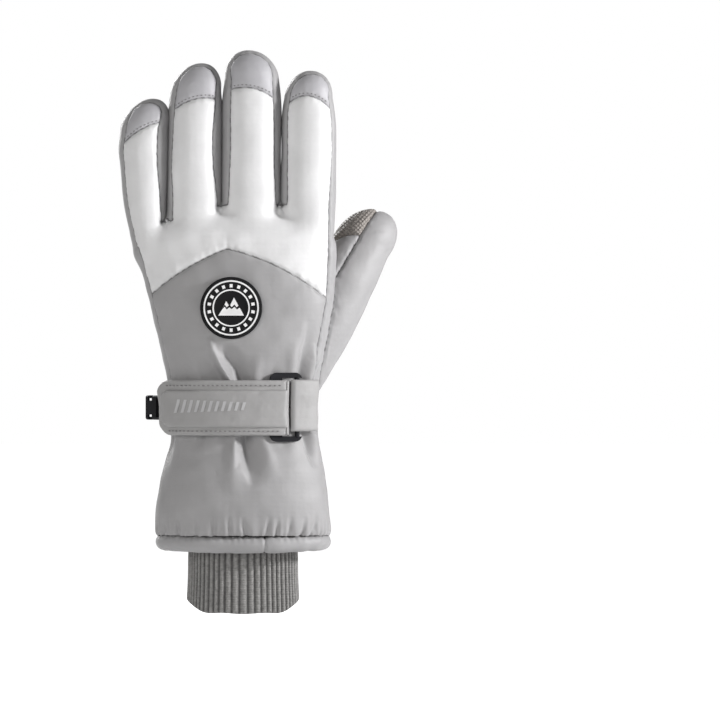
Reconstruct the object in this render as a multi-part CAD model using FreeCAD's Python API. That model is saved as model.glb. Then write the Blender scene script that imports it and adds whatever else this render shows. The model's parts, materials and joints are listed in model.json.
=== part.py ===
import FreeCAD, Part
import math
import os

# Insulated ski glove for the left hand, in millimetres.
# +Z runs from the cuff to the fingertips, the back of the hand faces -Y, the palm +Y and the
# thumb lies towards +X. The origin is the centre of the hand opening, at the knit cuff's rim.

V = FreeCAD.Vector

# ---- driving dimensions -------------------------------------------------------------------
SKIN = 1.0                  # outer fabric
PAD_OUT = 1.15              # depth of the padding's outer face below the fabric's outer face
PAD_IN = 4.6                # depth of the padding's inner face
LINING_IN = 5.4             # depth of the fleece lining's inner face
BIG = 200.0                 # half size of the cutting blocks
TOUCH = 0.05                # gap between two layers that lie on each other
PATCH_OUT = 0.8             # how far a grip patch stands out of the palm
TIP_PATCH_OUT = 0.7
HALF_SEAM = 4.0             # half depth of the strips that join the back to the palm
FINGER_STRIP_BACK = 5.5     # depth of a finger strip's seam on the back of the hand
FINGER_STRIP_FRONT = 6.0    # and on the palm

WRIST_Z = 102.0             # seam between gauntlet and hand, under the strap
HEM_Z = 34.5                # middle of the hem's rolled edge
HEM_R = 4.0
CUFF_TOP = 68.0             # where the knit cuff is sewn to the lining
KNIT_WALL = 2.2
ELASTIC_LOW = 92.0          # gathered band across the palm side of the wrist
ELASTIC_HIGH = 105.0
ELASTIC_IN = 2.2
ELASTIC_MARGIN = 1.0        # room around the band in the padding

FLEX_Y = 5.0                # depth of the finger hinges behind the middle plane
FLEX_RELIEF = 29.0          # degrees cut away each side of a finger hinge on the palm side
FLEX_GAP = 0.4              # half the gap between a finger and the hand

THUMB_BASE = V(22.5, 5.6, 118.3)
THUMB_DIR = V(0.483, 0.262, 0.835)
THUMB_FLEX = 50.0           # distance of the thumb's hinge from its base

STRAP_LOW = 88.0
STRAP_HIGH = 115.5
STRAP_END_X = -42.2         # the free end, rounded
STRAP_END_R = 9.0
PANEL_END_X = -39.5
PANEL_END_R = 6.5
FOLD_X = 21.2               # where the strap turns round the loop's flat bar
UNDER_DEPTH = (0.15, 1.2)   # each strap layer, as distances outwards from the wrist's fabric
LOOP_DEPTH = (1.25, 2.2)
HOOK_DEPTH = (2.3, 3.75)
FOLD_DEPTH = (1.5, 3.5)
FLAP_DEPTH = (3.8, 5.3)
PANEL_DEPTH = (5.35, 5.95)
TAB_DEPTH = (0.15, 5.0)

RING_LOW = 84.9
RING_HIGH = 119.3
RING_BAR_X = 27.0           # the round bar that the tab holds
RING_BAR_OUT = 2.75         # how far that bar's middle stands out of the wrist
RING_BAR_R = 1.2
RING_POCKET_R = 1.6         # the room for it in the tab
RING_TILT = 18.5            # degrees, the slope of the wrist under the ring
RING_WIDTH = 16.7
RING_REACH = 14.3           # from the round bar to the loop's outer edge
RING_THICK = 1.5
RING_FLAT_BAR = 6.2         # width of the bar that the strap turns round
RING_RAIL = 2.6             # width of the loop's upper and lower rails
TAB_LEFT = 24.4
TAB_RIGHT = 37.2
TAB_LOW = 90.0
TAB_HIGH = 115.8

CLIP_LOW = 95.5
CLIP_HIGH = 107.8
CLIP_BAR = V(-39.9, 8.0, 0)  # where the webbing holds the clip
CLIP_TURN = 123.0           # degrees from +X to the clip's mouth
CLIP_HALF = 2.6             # half the clip's thickness
CLIP_WALL = 1.4
CLIP_LENGTH = 13.0
WEBBING_TURN = -58.0        # degrees from +X to the webbing's root

BADGE = V(-5.9, -24.6, 151.5)
BADGE_R = 15.5
BADGE_PROUD = 0.5           # height of the badge's white figures
OUTER_RING = (13.0, 13.8)
INNER_RING = (8.6, 9.3)
DASH_RING = (10.2, 11.9)
DASHES = 18
DASH_HALF = 0.75

# ---- outlines: height, left edge, right edge, half depth -----------------------------------
BODY = [
    (38.6, -43.5, 43.7, 28.0), (52, -43, 42.6, 29.0), (70, -40, 40.3, 26.5), (80, -37.2, 38.2, 23.0),
    (86, -35.8, 37.2, 21.3), (102, -36, 37, 21.0), (117, -37.7, 38, 21.3),
    (135, -42, 41.5, 22.5), (155, -46.7, 45.3, 22.0), (175, -52, 46.2, 19.0),
    (190, -57, 46.4, 16.0), (208, -60, 46.4, 14.5),
]
KNIT = [
    (0, -28, 28, 19.5), (15, -27.4, 27.4, 19.0), (32, -27.2, 27.2, 19.0),
    (50, -29, 29.5, 19.5), (CUFF_TOP, -33, 33.5, 20.3),
]
FINGERS = {
    "pinky": {"flex": 194.0, "tip": (-46.5, 256.3), "seam": (238.0, 12.0), "tip_patch": None,
              "rows": [(190, -57.5, -39.4, 12.0), (212, -60.5, -38.4, 12.5),
                       (232, -62.3, -38.0, 12.3), (244, -60.8, -38.2, 11.5)]},
    "ring": {"flex": 199.0, "tip": (-23.4, 274.5), "seam": (253.0, 8.0), "tip_patch": None,
             "rows": [(194, -38.4, -11.4, 13.0), (225, -37.2, -11.0, 13.2),
                      (250, -36.3, -11.0, 12.8), (261, -34.8, -11.6, 12.0)]},
    "middle": {"flex": 202.0, "tip": (4.4, 281.0), "seam": (257.5, -5.0), "tip_patch": 249.0,
               "rows": [(197, -10.4, 17.9, 13.2), (230, -10.3, 18.1, 13.5),
                        (255, -9.9, 18.1, 13.0), (267, -8.5, 16.8, 12.2)]},
    "index": {"flex": 202.0, "tip": (32.6, 270.6), "seam": (253.0, -8.0), "tip_patch": 244.0,
              "rows": [(197, 19.0, 46.2, 13.0), (225, 20.0, 46.4, 13.2),
                       (247, 20.5, 46.2, 12.8), (258, 22.0, 44.5, 12.0)]},
}
TIP_HALF = 14.0             # half width of the fingertip seam's outline
WEB_X = {"pinky": (-BIG, -39.1), "ring": (-39.1, -10.9), "middle": (-10.9, 18.5),
         "index": (18.5, BIG)}
THUMB = [(0, -15, 15, 13.0), (32, -17, 17, 14.5), (57, -15.5, 15.5, 14.0), (80, -13.6, 13.4, 12.8)]
THUMB_TIP = (2.5, 98.5)
THUMB_SEAM = 1.0            # depth of the seam between the thumb's back and front
THUMB_PATCH_UP = 13.0       # the thumb's grip patch starts this far above the hinge

CHEVRON = [(-46, 157.8), (-28, 170.5), (-8.1, 180.9), (16, 172.5), (41.4, 155.9)]
GRIP = [(38.6, 201), (2.1, 194), (-21.6, 189), (-45, 176), (-36.5, 125), (-22, 119), (-10.7, 122),
        (8.9, 142.8), (6.9, 154.7), (-4, 167.6), (3.1, 174.8), (24.8, 178.2), (38.6, 172)]

parts = {}


# ---- shape helpers -------------------------------------------------------------------------
def section(z, left, right, depth, power=2.3, count=16):
    """A closed curve, flatter than an ellipse, at one height."""
    middle = (left + right) / 2
    half = (right - left) / 2
    points = []
    for i in range(count):
        a = 2 * math.pi * i / count
        c = math.cos(a)
        s = math.sin(a)
        x = half * math.copysign(abs(c) ** (2 / power), c)
        y = depth * math.copysign(abs(s) ** (2 / power), s)
        points.append(V(middle + x, y, z))
    curve = Part.BSplineCurve()
    curve.interpolate(Points=points, PeriodicFlag=True)
    return Part.Wire([curve.toShape()])


def tube(rows, inset=0.0, tip=None, power=2.3):
    """A loft through the rows, inset all round, closed by a round end when a tip is given."""
    wires = []
    for z, left, right, depth in rows:
        wires.append(section(z, left + inset, right - inset, depth - inset, power))
    if tip:
        z, left, right, depth = rows[-1]
        middle = (left + right) / 2
        half = (right - left) / 2 - inset
        rise = tip[1] - inset - z
        for share in (0.4, 0.68, 0.88, 0.98):
            keep = math.sqrt(1 - share * share)
            x = middle + (tip[0] - middle) * share
            wires.append(section(z + rise * share, x - half * keep, x + half * keep,
                                 (depth - inset) * keep, power))
    return Part.makeLoft(wires, True, True)


def block(x0, x1, y0, y1, z0, z1):
    return Part.makeBox(x1 - x0, y1 - y0, z1 - z0, V(x0, y0, z0))


def prism(points, y0, y1):
    """A solid with an outline of X and Z points, from y0 to y1."""
    wire = Part.makePolygon([V(x, y0, z) for x, z in points + points[:1]])
    return Part.Face(wire).extrude(V(0, y1 - y0, 0))


def hinge_profile(z, above, x0, x1):
    """The side of a flexing joint that lies above it, or below it, opened on the palm side."""
    sign = 1 if above else -1
    edge = z + sign * FLEX_GAP
    far = edge + sign * (BIG - FLEX_Y) * math.tan(math.radians(FLEX_RELIEF))
    end = z + sign * 2 * BIG
    wire = Part.makePolygon([V(x0, -BIG, edge), V(x0, FLEX_Y, edge), V(x0, BIG, far),
                             V(x0, BIG, end), V(x0, -BIG, end), V(x0, -BIG, edge)])
    return Part.Face(wire).extrude(V(x1 - x0, 0, 0))


def keep_solids(shape, smallest=1.0):
    """The solids of a shape, without slivers."""
    solids = [s for s in shape.Solids if s.Volume > smallest]
    return solids[0] if len(solids) == 1 else Part.makeCompound(solids)


def add(name, shape):
    parts[name] = keep_solids(shape)


# ---- the glove's main tube, from hem to finger roots ---------------------------------------
layers = {}


def body(inset):
    if inset not in layers:
        layers[inset] = tube(BODY, inset)
    return layers[inset]


thumb_frame = FreeCAD.Placement()
side = V(THUMB_DIR.z, 0, -THUMB_DIR.x).normalize()
ahead = THUMB_DIR.cross(side).normalize()
thumb_frame.Rotation = FreeCAD.Rotation(side, ahead, THUMB_DIR, "ZXY")
thumb_frame.Base = THUMB_BASE


def thumb_tube(inset):
    shape = tube(THUMB, inset, THUMB_TIP)
    shape.Placement = thumb_frame
    return shape


def thumb_half(above):
    shape = hinge_profile(THUMB_FLEX, above, -BIG, BIG)
    shape.Placement = thumb_frame
    return shape


def finger_roots():
    """What lies below the finger hinges, over all four fingers."""
    shapes = []
    for name, finger in FINGERS.items():
        left, right = WEB_X[name]
        shapes.append(hinge_profile(finger["flex"], False, left, right))
    return shapes[0].multiFuse(shapes[1:])


BELOW_FINGERS = finger_roots()
THUMB_CLEARANCE = 0.8       # between the moving thumb and the hand
THUMB_ROOM = thumb_tube(-THUMB_CLEARANCE).common(thumb_half(True))
THUMB_ROOM = THUMB_ROOM.fuse(thumb_tube(LINING_IN))


def hand_layer(outer, inner, z0, z1, y0=-BIG, y1=BIG):
    shape = body(outer).cut(body(inner))
    shape = shape.common(block(-BIG, BIG, y0, y1, z0, z1))
    if z1 > WRIST_Z:
        shape = shape.common(BELOW_FINGERS).cut(THUMB_ROOM)
    return shape


def elastic_room():
    """The space that the wrist elastic needs between the fabric and the padding."""
    ring = body(PAD_OUT - 0.1).cut(body(ELASTIC_IN + 0.2))
    low = ELASTIC_LOW - ELASTIC_MARGIN
    high = ELASTIC_HIGH + ELASTIC_MARGIN
    return ring.common(block(-BIG, BIG, 2, BIG, low, high))


def make_hand():
    top = BIG * 2
    back = hand_layer(0, SKIN, WRIST_Z, top, -BIG, -HALF_SEAM)
    lower = CHEVRON[:1] + CHEVRON + [(BIG, CHEVRON[-1][1]), (BIG, 0), (-BIG, 0), (-BIG, CHEVRON[0][1])]
    below_seam = prism(lower[1:], -BIG, 0)
    add("back_lower_panel", back.common(below_seam))
    add("back_upper_panel", back.cut(below_seam))
    add("palm_panel", hand_layer(0, SKIN, WRIST_Z, top, HALF_SEAM, BIG))
    strips = hand_layer(0, SKIN, WRIST_Z, top, -HALF_SEAM, HALF_SEAM)
    add("hand_side_strip_outer", strips.common(block(-BIG, 0, -BIG, BIG, 0, BIG * 2)))
    add("hand_side_strip_inner", strips.common(block(0, BIG, -BIG, BIG, 0, BIG * 2)))
    add("hand_padding_back", hand_layer(PAD_OUT, PAD_IN, WRIST_Z, top, -BIG, 0))
    add("hand_padding_palm", hand_layer(PAD_OUT, PAD_IN, WRIST_Z, top, 0, BIG).cut(elastic_room()))
    add("hand_lining", hand_layer(PAD_IN + 0.1, LINING_IN, WRIST_Z, top))
    grip = body(-PATCH_OUT).cut(body(-TOUCH)).common(prism(GRIP, HALF_SEAM, BIG))
    add("palm_grip_patch", grip.common(BELOW_FINGERS).cut(THUMB_ROOM).cut(thumb_tube(0)))


def make_gauntlet():
    low = BODY[0][0]
    add("gauntlet_back", hand_layer(0, SKIN, low, WRIST_Z, -BIG, 0))
    add("gauntlet_palm", hand_layer(0, SKIN, low, WRIST_Z, 0, BIG))
    elastic = body(PAD_OUT).cut(body(ELASTIC_IN))
    add("wrist_elastic", elastic.common(block(-BIG, BIG, 3, BIG, ELASTIC_LOW, ELASTIC_HIGH)))
    add("gauntlet_padding_back", hand_layer(PAD_OUT, PAD_IN, low, WRIST_Z, -BIG, 0))
    add("gauntlet_padding_palm", hand_layer(PAD_OUT, PAD_IN, low, WRIST_Z, 0, BIG).cut(elastic_room()))
    add("gauntlet_lining", hand_layer(PAD_IN + 0.1, LINING_IN, low, WRIST_Z))
    left, right, depth = BODY[0][1:]
    path = section(HEM_Z, left + HEM_R, right - HEM_R, depth - HEM_R)
    start = V(right - HEM_R, 0, HEM_Z)
    profile = Part.Wire([Part.makeCircle(HEM_R, start, V(0, 1, 0))])
    add("hem_binding", path.makePipeShell([profile], True, True))
    add("knit_cuff", tube(KNIT).cut(tube(KNIT, KNIT_WALL)))


def make_finger(name):
    finger = FINGERS[name]
    above = hinge_profile(finger["flex"], True, -BIG, BIG)

    def layer(outer, inner):
        hollow = tube(finger["rows"], inner, finger["tip"])
        return tube(finger["rows"], outer, finger["tip"]).cut(hollow).common(above)

    skin = layer(0, SKIN)
    seam_z, lean = finger["seam"]
    middle = (finger["rows"][2][1] + finger["rows"][2][2]) / 2
    half = TIP_HALF
    tip_zone = prism([(middle - half, seam_z - lean / 2), (middle - half / 2, seam_z + 1),
                      (middle, seam_z + 2), (middle + half / 2, seam_z + 1),
                      (middle + half, seam_z + lean / 2),
                      (middle + half, BIG * 2), (middle - half, BIG * 2)], -BIG, 0)
    back = skin.common(block(-BIG, BIG, -BIG, -FINGER_STRIP_BACK, 0, BIG * 2))
    add(name + "_back", back.cut(tip_zone))
    add(name + "_tip_cap", back.common(tip_zone))
    strip = block(-BIG, BIG, -FINGER_STRIP_BACK, FINGER_STRIP_FRONT, 0, BIG * 2)
    add(name + "_side_strip", skin.common(strip))
    add(name + "_front", skin.common(block(-BIG, BIG, FINGER_STRIP_FRONT, BIG, 0, BIG * 2)))
    add(name + "_liner", layer(PAD_OUT, PAD_IN))
    if finger["tip_patch"]:
        grip = block(-BIG, BIG, FINGER_STRIP_FRONT, BIG, finger["tip_patch"], BIG * 2)
        add(name + "_grip_patch", layer(-TIP_PATCH_OUT, -TOUCH).common(grip))


def make_thumb():
    skin = thumb_tube(0).cut(thumb_tube(SKIN))
    pad = thumb_tube(PAD_OUT).cut(thumb_tube(PAD_IN))
    below = thumb_half(False)
    above = thumb_half(True)
    hand_room = body(-2 * TOUCH)
    add("thumb_gusset", skin.common(below).cut(hand_room))
    add("thumb_base_padding", pad.common(below).cut(hand_room))
    palm_side = block(-BIG, BIG, THUMB_SEAM, BIG, -BIG, BIG * 2)
    palm_side.Placement = thumb_frame
    add("thumb_back", skin.common(above).cut(palm_side))
    add("thumb_front", skin.common(above).common(palm_side))
    add("thumb_liner", pad.common(above))
    grip_zone = block(-BIG, 2, 2, BIG, THUMB_FLEX + THUMB_PATCH_UP, BIG)
    grip_zone.Placement = thumb_frame
    grip = thumb_tube(-TIP_PATCH_OUT).cut(thumb_tube(-TOUCH)).common(grip_zone)
    add("thumb_grip_patch", grip.common(above))


def make_badge():
    seat = body(-TOUCH)
    base = Part.makeCylinder(BADGE_R, 6, BADGE, V(0, 1, 0)).cut(seat)
    rim = max(base.Edges, key=lambda e: e.Length if abs(e.CenterOfMass.y - BADGE.y) < 0.01 else 0)
    add("badge_base", base.makeFillet(0.6, [rim]))

    def ring(radii):
        whole = Part.makeCylinder(radii[1], BADGE_PROUD, BADGE, V(0, -1, 0))
        return whole.cut(Part.makeCylinder(radii[0], BADGE_PROUD, BADGE, V(0, -1, 0)))

    pieces = [ring(OUTER_RING), ring(INNER_RING)]
    upright = block(BADGE.x - DASH_HALF, BADGE.x + DASH_HALF, -BIG, 0, BADGE.z, BIG * 2)
    for i in range(DASHES):
        dash = ring(DASH_RING).common(upright)
        dash.rotate(BADGE, V(0, 1, 0), 360 * i / DASHES)
        pieces.append(dash)
    slopes = [(-6.4, -3.8), (6.4, -3.8), (4.2, 0.2), (2.9, -0.8), (1.7, 0.6), (0.2, -0.6), (-0.9, 0.3),
              (-2.2, -0.8), (-3.2, 0.6), (-4.4, -0.6)]
    high_snow = [(-0.5, 1.4), (0.3, 0.4), (1.6, 1.7), (2.8, 0.3), (3.6, 1.2), (1.4, 5.2)]
    low_snow = [(-3.9, 0.5), (-3.2, 1.7), (-2.2, 0.3), (-1.1, 1.3), (-2.5, 3.4)]
    for outline in (slopes, high_snow, low_snow):
        corners = [(BADGE.x + x, BADGE.z + z) for x, z in outline]
        pieces.append(prism(corners, BADGE.y - BADGE_PROUD, BADGE.y))
    add("badge_relief", Part.makeCompound(pieces))


def wrist_layer(depth, x0, x1, z0, z1, y1=-1.0):
    """A piece of a layer around the back of the wrist, given as distances out of the fabric."""
    inner, outer = depth
    return body(-outer).cut(body(-inner)).common(block(x0, x1, -BIG, y1, z0, z1))


def rounded_end(z0, z1, x_end, radius):
    """The strap's outline seen from the back of the hand, round at its free end."""
    bow = radius * (1 - math.sqrt(0.5))
    x_straight = x_end + radius
    low_arc = Part.Arc(V(x_straight, 0, z0), V(x_end + bow, 0, z0 + bow), V(x_end, 0, z0 + radius))
    high_arc = Part.Arc(V(x_end, 0, z1 - radius), V(x_end + bow, 0, z1 - bow), V(x_straight, 0, z1))
    sides = [(V(x_end, 0, z0 + radius), V(x_end, 0, z1 - radius)), (V(x_straight, 0, z1), V(BIG, 0, z1)),
             (V(BIG, 0, z1), V(BIG, 0, z0)), (V(BIG, 0, z0), V(x_straight, 0, z0))]
    edges = [low_arc.toShape(), high_arc.toShape()]
    for start, end in sides:
        edges.append(Part.LineSegment(start, end).toShape())
    face = Part.Face(Part.Wire(Part.__sortEdges__(edges)))
    face.translate(V(0, -BIG, 0))
    return face.extrude(V(0, BIG, 0))


def wrist_y(x, stand_off):
    """Y of the wrist's back surface at the strap's mid height, moved outwards."""
    z = (STRAP_LOW + STRAP_HIGH) / 2
    line = Part.makeLine(V(x, -BIG, z), V(x, 0, z))
    hit = line.common(body(0))
    return min(v.Point.y for v in hit.Vertexes) - stand_off


def make_strap():
    low = STRAP_LOW
    high = STRAP_HIGH
    add("strap_under", wrist_layer(UNDER_DEPTH, -34.5, FOLD_X + 0.3, low + 2, high - 2))
    add("strap_loop_patch", wrist_layer(LOOP_DEPTH, -33, -8, low + 4, high - 4))
    add("strap_hook_patch", wrist_layer(HOOK_DEPTH, -33, -18, low + 4.5, high - 4.5))
    outline = rounded_end(low, high, STRAP_END_X, STRAP_END_R)
    add("strap_flap", wrist_layer(FLAP_DEPTH, -BIG, FOLD_X - 0.6, 0, BIG).common(outline))
    raised = rounded_end(low + 4, high - 5, PANEL_END_X, PANEL_END_R)
    add("strap_panel", wrist_layer(PANEL_DEPTH, -BIG, FOLD_X - 1.2, 0, BIG).common(raised))
    add("strap_fold", wrist_layer(FOLD_DEPTH, FOLD_X - 0.8, FOLD_X + 1, low + 0.2, high))


def make_ring():
    """A moulded loop: a flat bar for the strap, and a round bar that the tab holds."""
    bar = V(RING_BAR_X, wrist_y(RING_BAR_X, RING_BAR_OUT), 0)
    right = RING_WIDTH - RING_REACH
    slot_low = RING_LOW + RING_RAIL
    slot_high = RING_HIGH - RING_RAIL
    frame = block(-RING_REACH, right, -RING_THICK / 2, RING_THICK / 2, RING_LOW, RING_HIGH)
    corners = [e for e in frame.Edges if abs(e.tangentAt(e.FirstParameter).y) > 0.9]
    frame = frame.makeFillet(3.5, corners)
    slot = block(RING_FLAT_BAR - RING_REACH, RING_WIDTH, -BIG, BIG, slot_low, slot_high)
    round_bar = Part.makeCylinder(RING_BAR_R, slot_high - slot_low + 1, V(0, 0, slot_low - 0.5))
    ring = frame.cut(slot).fuse(round_bar)
    ring.Placement = FreeCAD.Placement(bar, FreeCAD.Rotation(V(0, 0, 1), RING_TILT))
    add("strap_ring", ring.removeSplitter())
    tab = wrist_layer(TAB_DEPTH, TAB_LEFT, TAB_RIGHT, TAB_LOW, TAB_HIGH, -3.0)
    pocket = Part.makeCylinder(RING_POCKET_R, BIG, bar)
    add("ring_tab", tab.cut(pocket))


def make_clip():
    """The socket half of a small side-release buckle on a webbing loop at the side seam."""
    low = CLIP_LOW
    high = CLIP_HIGH
    shell = block(-CLIP_WALL, CLIP_LENGTH, -CLIP_HALF, CLIP_HALF, low, high)
    long_edges = [e for e in shell.Edges if abs(e.tangentAt(e.FirstParameter).x) > 0.9]
    shell = shell.makeFillet(1.2, long_edges)
    window = block(-2, 3.2, -BIG, BIG, low + CLIP_WALL, high - CLIP_WALL)
    mouth = block(4.8, CLIP_LENGTH + 1, -1.5, 1.5, low + 1.5, high - 1.5)
    notch_low = block(7.2, 10.8, -BIG, BIG, low - 1, low + 2.6)
    notch_high = block(7.2, 10.8, -BIG, BIG, high - 2.6, high + 1)
    pin = Part.makeCylinder(1.0, high - low - 2, V(0, 0, low + 1))
    socket = shell.cut(window).cut(mouth).cut(notch_low).cut(notch_high).fuse(pin)
    socket.Placement = FreeCAD.Placement(CLIP_BAR, FreeCAD.Rotation(V(0, 0, 1), CLIP_TURN))
    add("clip_socket", socket.removeSplitter())
    webbing_low = low + CLIP_WALL + 0.45
    webbing_high = high - CLIP_WALL - 0.45
    eye_height = webbing_high - webbing_low
    eye = Part.makeCylinder(2.3, eye_height, CLIP_BAR + V(0, 0, webbing_low))
    strip = block(0, 5.5, -0.9, 0.9, webbing_low, webbing_high)
    strip.Placement = FreeCAD.Placement(CLIP_BAR, FreeCAD.Rotation(V(0, 0, 1), WEBBING_TURN))
    hole = Part.makeCylinder(1.35, BIG, CLIP_BAR)
    add("clip_webbing", eye.fuse(strip).cut(hole).cut(body(-2 * TOUCH)))


make_hand()
make_gauntlet()
for finger_name in FINGERS:
    make_finger(finger_name)
make_thumb()
make_badge()
make_strap()
make_ring()
make_clip()

os.makedirs("parts", exist_ok=True)
for name, shape in parts.items():
    shape.exportStep("parts/" + name + ".step")
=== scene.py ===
import json
import math

import bmesh
import bpy
import numpy as np
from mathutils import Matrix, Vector, kdtree
from mathutils.bvhtree import BVHTree


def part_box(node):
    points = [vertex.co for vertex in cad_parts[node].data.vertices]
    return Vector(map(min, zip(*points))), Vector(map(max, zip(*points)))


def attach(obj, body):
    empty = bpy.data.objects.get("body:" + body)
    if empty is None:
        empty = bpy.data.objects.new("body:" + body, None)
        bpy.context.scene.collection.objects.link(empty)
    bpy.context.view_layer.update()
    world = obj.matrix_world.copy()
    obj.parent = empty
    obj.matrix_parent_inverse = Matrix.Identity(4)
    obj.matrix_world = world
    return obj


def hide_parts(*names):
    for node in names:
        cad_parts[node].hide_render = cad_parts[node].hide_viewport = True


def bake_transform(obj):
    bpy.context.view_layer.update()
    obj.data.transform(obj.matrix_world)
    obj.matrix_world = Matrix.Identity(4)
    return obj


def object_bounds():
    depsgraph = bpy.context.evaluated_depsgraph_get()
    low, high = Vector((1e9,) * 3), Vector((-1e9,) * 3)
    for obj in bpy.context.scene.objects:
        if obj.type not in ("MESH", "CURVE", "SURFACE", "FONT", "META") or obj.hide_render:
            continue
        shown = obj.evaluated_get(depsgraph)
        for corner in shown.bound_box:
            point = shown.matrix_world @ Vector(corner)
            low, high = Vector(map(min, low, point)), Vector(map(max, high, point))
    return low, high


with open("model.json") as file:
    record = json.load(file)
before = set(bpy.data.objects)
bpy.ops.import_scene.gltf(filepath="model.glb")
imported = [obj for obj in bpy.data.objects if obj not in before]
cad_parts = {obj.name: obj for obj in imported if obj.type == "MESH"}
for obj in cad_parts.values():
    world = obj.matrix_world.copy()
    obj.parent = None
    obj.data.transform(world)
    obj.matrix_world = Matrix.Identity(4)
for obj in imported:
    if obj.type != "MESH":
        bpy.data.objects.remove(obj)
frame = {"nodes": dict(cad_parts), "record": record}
cad_low, cad_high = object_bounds()

MM = 0.001
CIRCLE = 2 * math.pi


def add_object(name, data):
    thing = bpy.data.objects.new(name, data)
    bpy.context.scene.collection.objects.link(thing)
    return thing


# ---- camera and light
SENSOR = 36
CAMERA_DISTANCE = 3.0
CAMERA_HEIGHT = 0.1256
FIELD_WIDTH = 0.3612
SHIFT_X = 0.1625                # the glove stands left of the middle of the frame


def make_camera():
    """Square to the back of the hand, and far off."""
    data = bpy.data.cameras.new("camera")
    data.sensor_width = SENSOR
    data.lens = SENSOR * CAMERA_DISTANCE / FIELD_WIDTH
    data.shift_x = SHIFT_X
    camera = add_object("camera", data)
    camera.location = (0, -CAMERA_DISTANCE, CAMERA_HEIGHT)
    camera.rotation_euler = (math.radians(90), 0, 0)
    bpy.context.scene.camera = camera


LIGHT_AIM = Vector((0, 0, 0.14))
LIGHTS = {                      # place, size, power and colour
    "key": ((0.66, -0.20, 0.33), 0.14, 5.2, (0.995, 0.99, 1.0)),
    "fill": ((-0.55, -0.75, 0.35), 0.5, 2.1, (1.0, 0.985, 0.97)),
    "rear": ((-0.4, 0.85, 0.5), 0.4, 5.0, (1.0, 1.0, 1.0)),
}
AMBIENT = 0.25
FLOOR_GLOW = 0.85
FLOOR_SHADE = 0.9
FLOOR_RADIUS = 8.0
FLOOR_DROP = 0.03


def area_light(name, place, size, power, colour):
    data = bpy.data.lights.new(name, "AREA")
    data.shape = "DISK"
    data.size = size
    data.energy = power
    data.color = colour
    light = add_object(name, data)
    light.location = place
    direction = LIGHT_AIM - Vector(place)
    light.rotation_euler = direction.to_track_quat("-Z", "Y").to_euler()


def seen_strength(tree, socket, seen, otherwise):
    """Sets a strength that has one value where the camera looks straight at it and another elsewhere."""
    path = tree.nodes.new("ShaderNodeLightPath")
    strength = tree.nodes.new("ShaderNodeMath")
    strength.operation = "MULTIPLY_ADD"
    strength.inputs[1].default_value = seen - otherwise
    strength.inputs[2].default_value = otherwise
    tree.links.new(path.outputs["Is Camera Ray"], strength.inputs[0])
    tree.links.new(strength.outputs[0], socket)


def make_studio():
    """A pale floor that runs into a pale surround, a key light at the right and weaker ones elsewhere."""
    bpy.context.scene.view_settings.view_transform = "Standard"
    world = bpy.data.worlds.new("studio")
    bpy.context.scene.world = world
    world.use_nodes = True
    background = world.node_tree.nodes["Background"]
    background.inputs["Color"].default_value = (1, 1, 1, 1)
    seen_strength(world.node_tree, background.inputs["Strength"], 1.0, AMBIENT)
    for name, settings in LIGHTS.items():
        area_light(name, *settings)
    r = FLOOR_RADIUS
    level = cad_low.z - FLOOR_DROP
    mesh = bpy.data.meshes.new("floor")
    mesh.from_pydata([(-r, -r, level), (r, -r, level), (r, r, level), (-r, r, level)], [], [(0, 1, 2, 3)])
    floor = add_object("floor", mesh)
    paint = bpy.data.materials.new("floor")
    paint.use_nodes = True
    shader = paint.node_tree.nodes["Principled BSDF"]
    shader.inputs["Base Color"].default_value = (FLOOR_SHADE, FLOOR_SHADE, FLOOR_SHADE, 1)
    shader.inputs["Roughness"].default_value = 0.9
    shader.inputs["Emission Color"].default_value = (1, 1, 1, 1)
    seen_strength(paint.node_tree, shader.inputs["Emission Strength"], FLOOR_GLOW, 0.0)
    mesh.materials.append(paint)


make_camera()
make_studio()


# ---- reading the frame
def node_triangles(names):
    """The triangles of some CAD nodes, in millimetres, as an array of N by 3 points."""
    found = []
    for name in names:
        mesh = frame["nodes"][name].data
        mesh.calc_loop_triangles()
        points = np.empty(len(mesh.vertices) * 3)
        mesh.vertices.foreach_get("co", points)
        corners = np.empty(len(mesh.loop_triangles) * 3, dtype=np.int32)
        mesh.loop_triangles.foreach_get("vertices", corners)
        found.append(points.reshape(-1, 3)[corners.reshape(-1, 3)] / MM)
    return np.concatenate(found)


def slices(triangles, heights):
    """The least and greatest X and Y of the triangles at each height."""
    rows = []
    for z in heights:
        hits = []
        for a, b in ((0, 1), (1, 2), (2, 0)):
            p = triangles[:, a]
            q = triangles[:, b]
            cross = (p[:, 2] - z) * (q[:, 2] - z) < 0
            p = p[cross]
            q = q[cross]
            t = (z - p[:, 2]) / (q[:, 2] - p[:, 2])
            hits.append(p[:, :2] + (q - p)[:, :2] * t[:, None])
        hits = np.concatenate(hits)
        rows.append((z, *hits.min(0), *hits.max(0)))
    return np.array(rows)


def smooth_table(x, xs, values):
    """A smooth curve through the values at xs, held at its ends."""
    xs = np.asarray(xs, float)
    values = np.asarray(values, float)
    slope = np.gradient(values, xs)
    x = np.clip(x, xs[0], xs[-1])
    i = np.clip(np.searchsorted(xs, x) - 1, 0, len(xs) - 2)
    h = xs[i + 1] - xs[i]
    t = (x - xs[i]) / h
    a = values[i]
    b = values[i + 1]
    return ((2 * t**3 - 3 * t**2 + 1) * a + (t**3 - 2 * t**2 + t) * h * slope[i]
            + (3 * t**2 - 2 * t**3) * b + (t**3 - t**2) * h * slope[i + 1])


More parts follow.
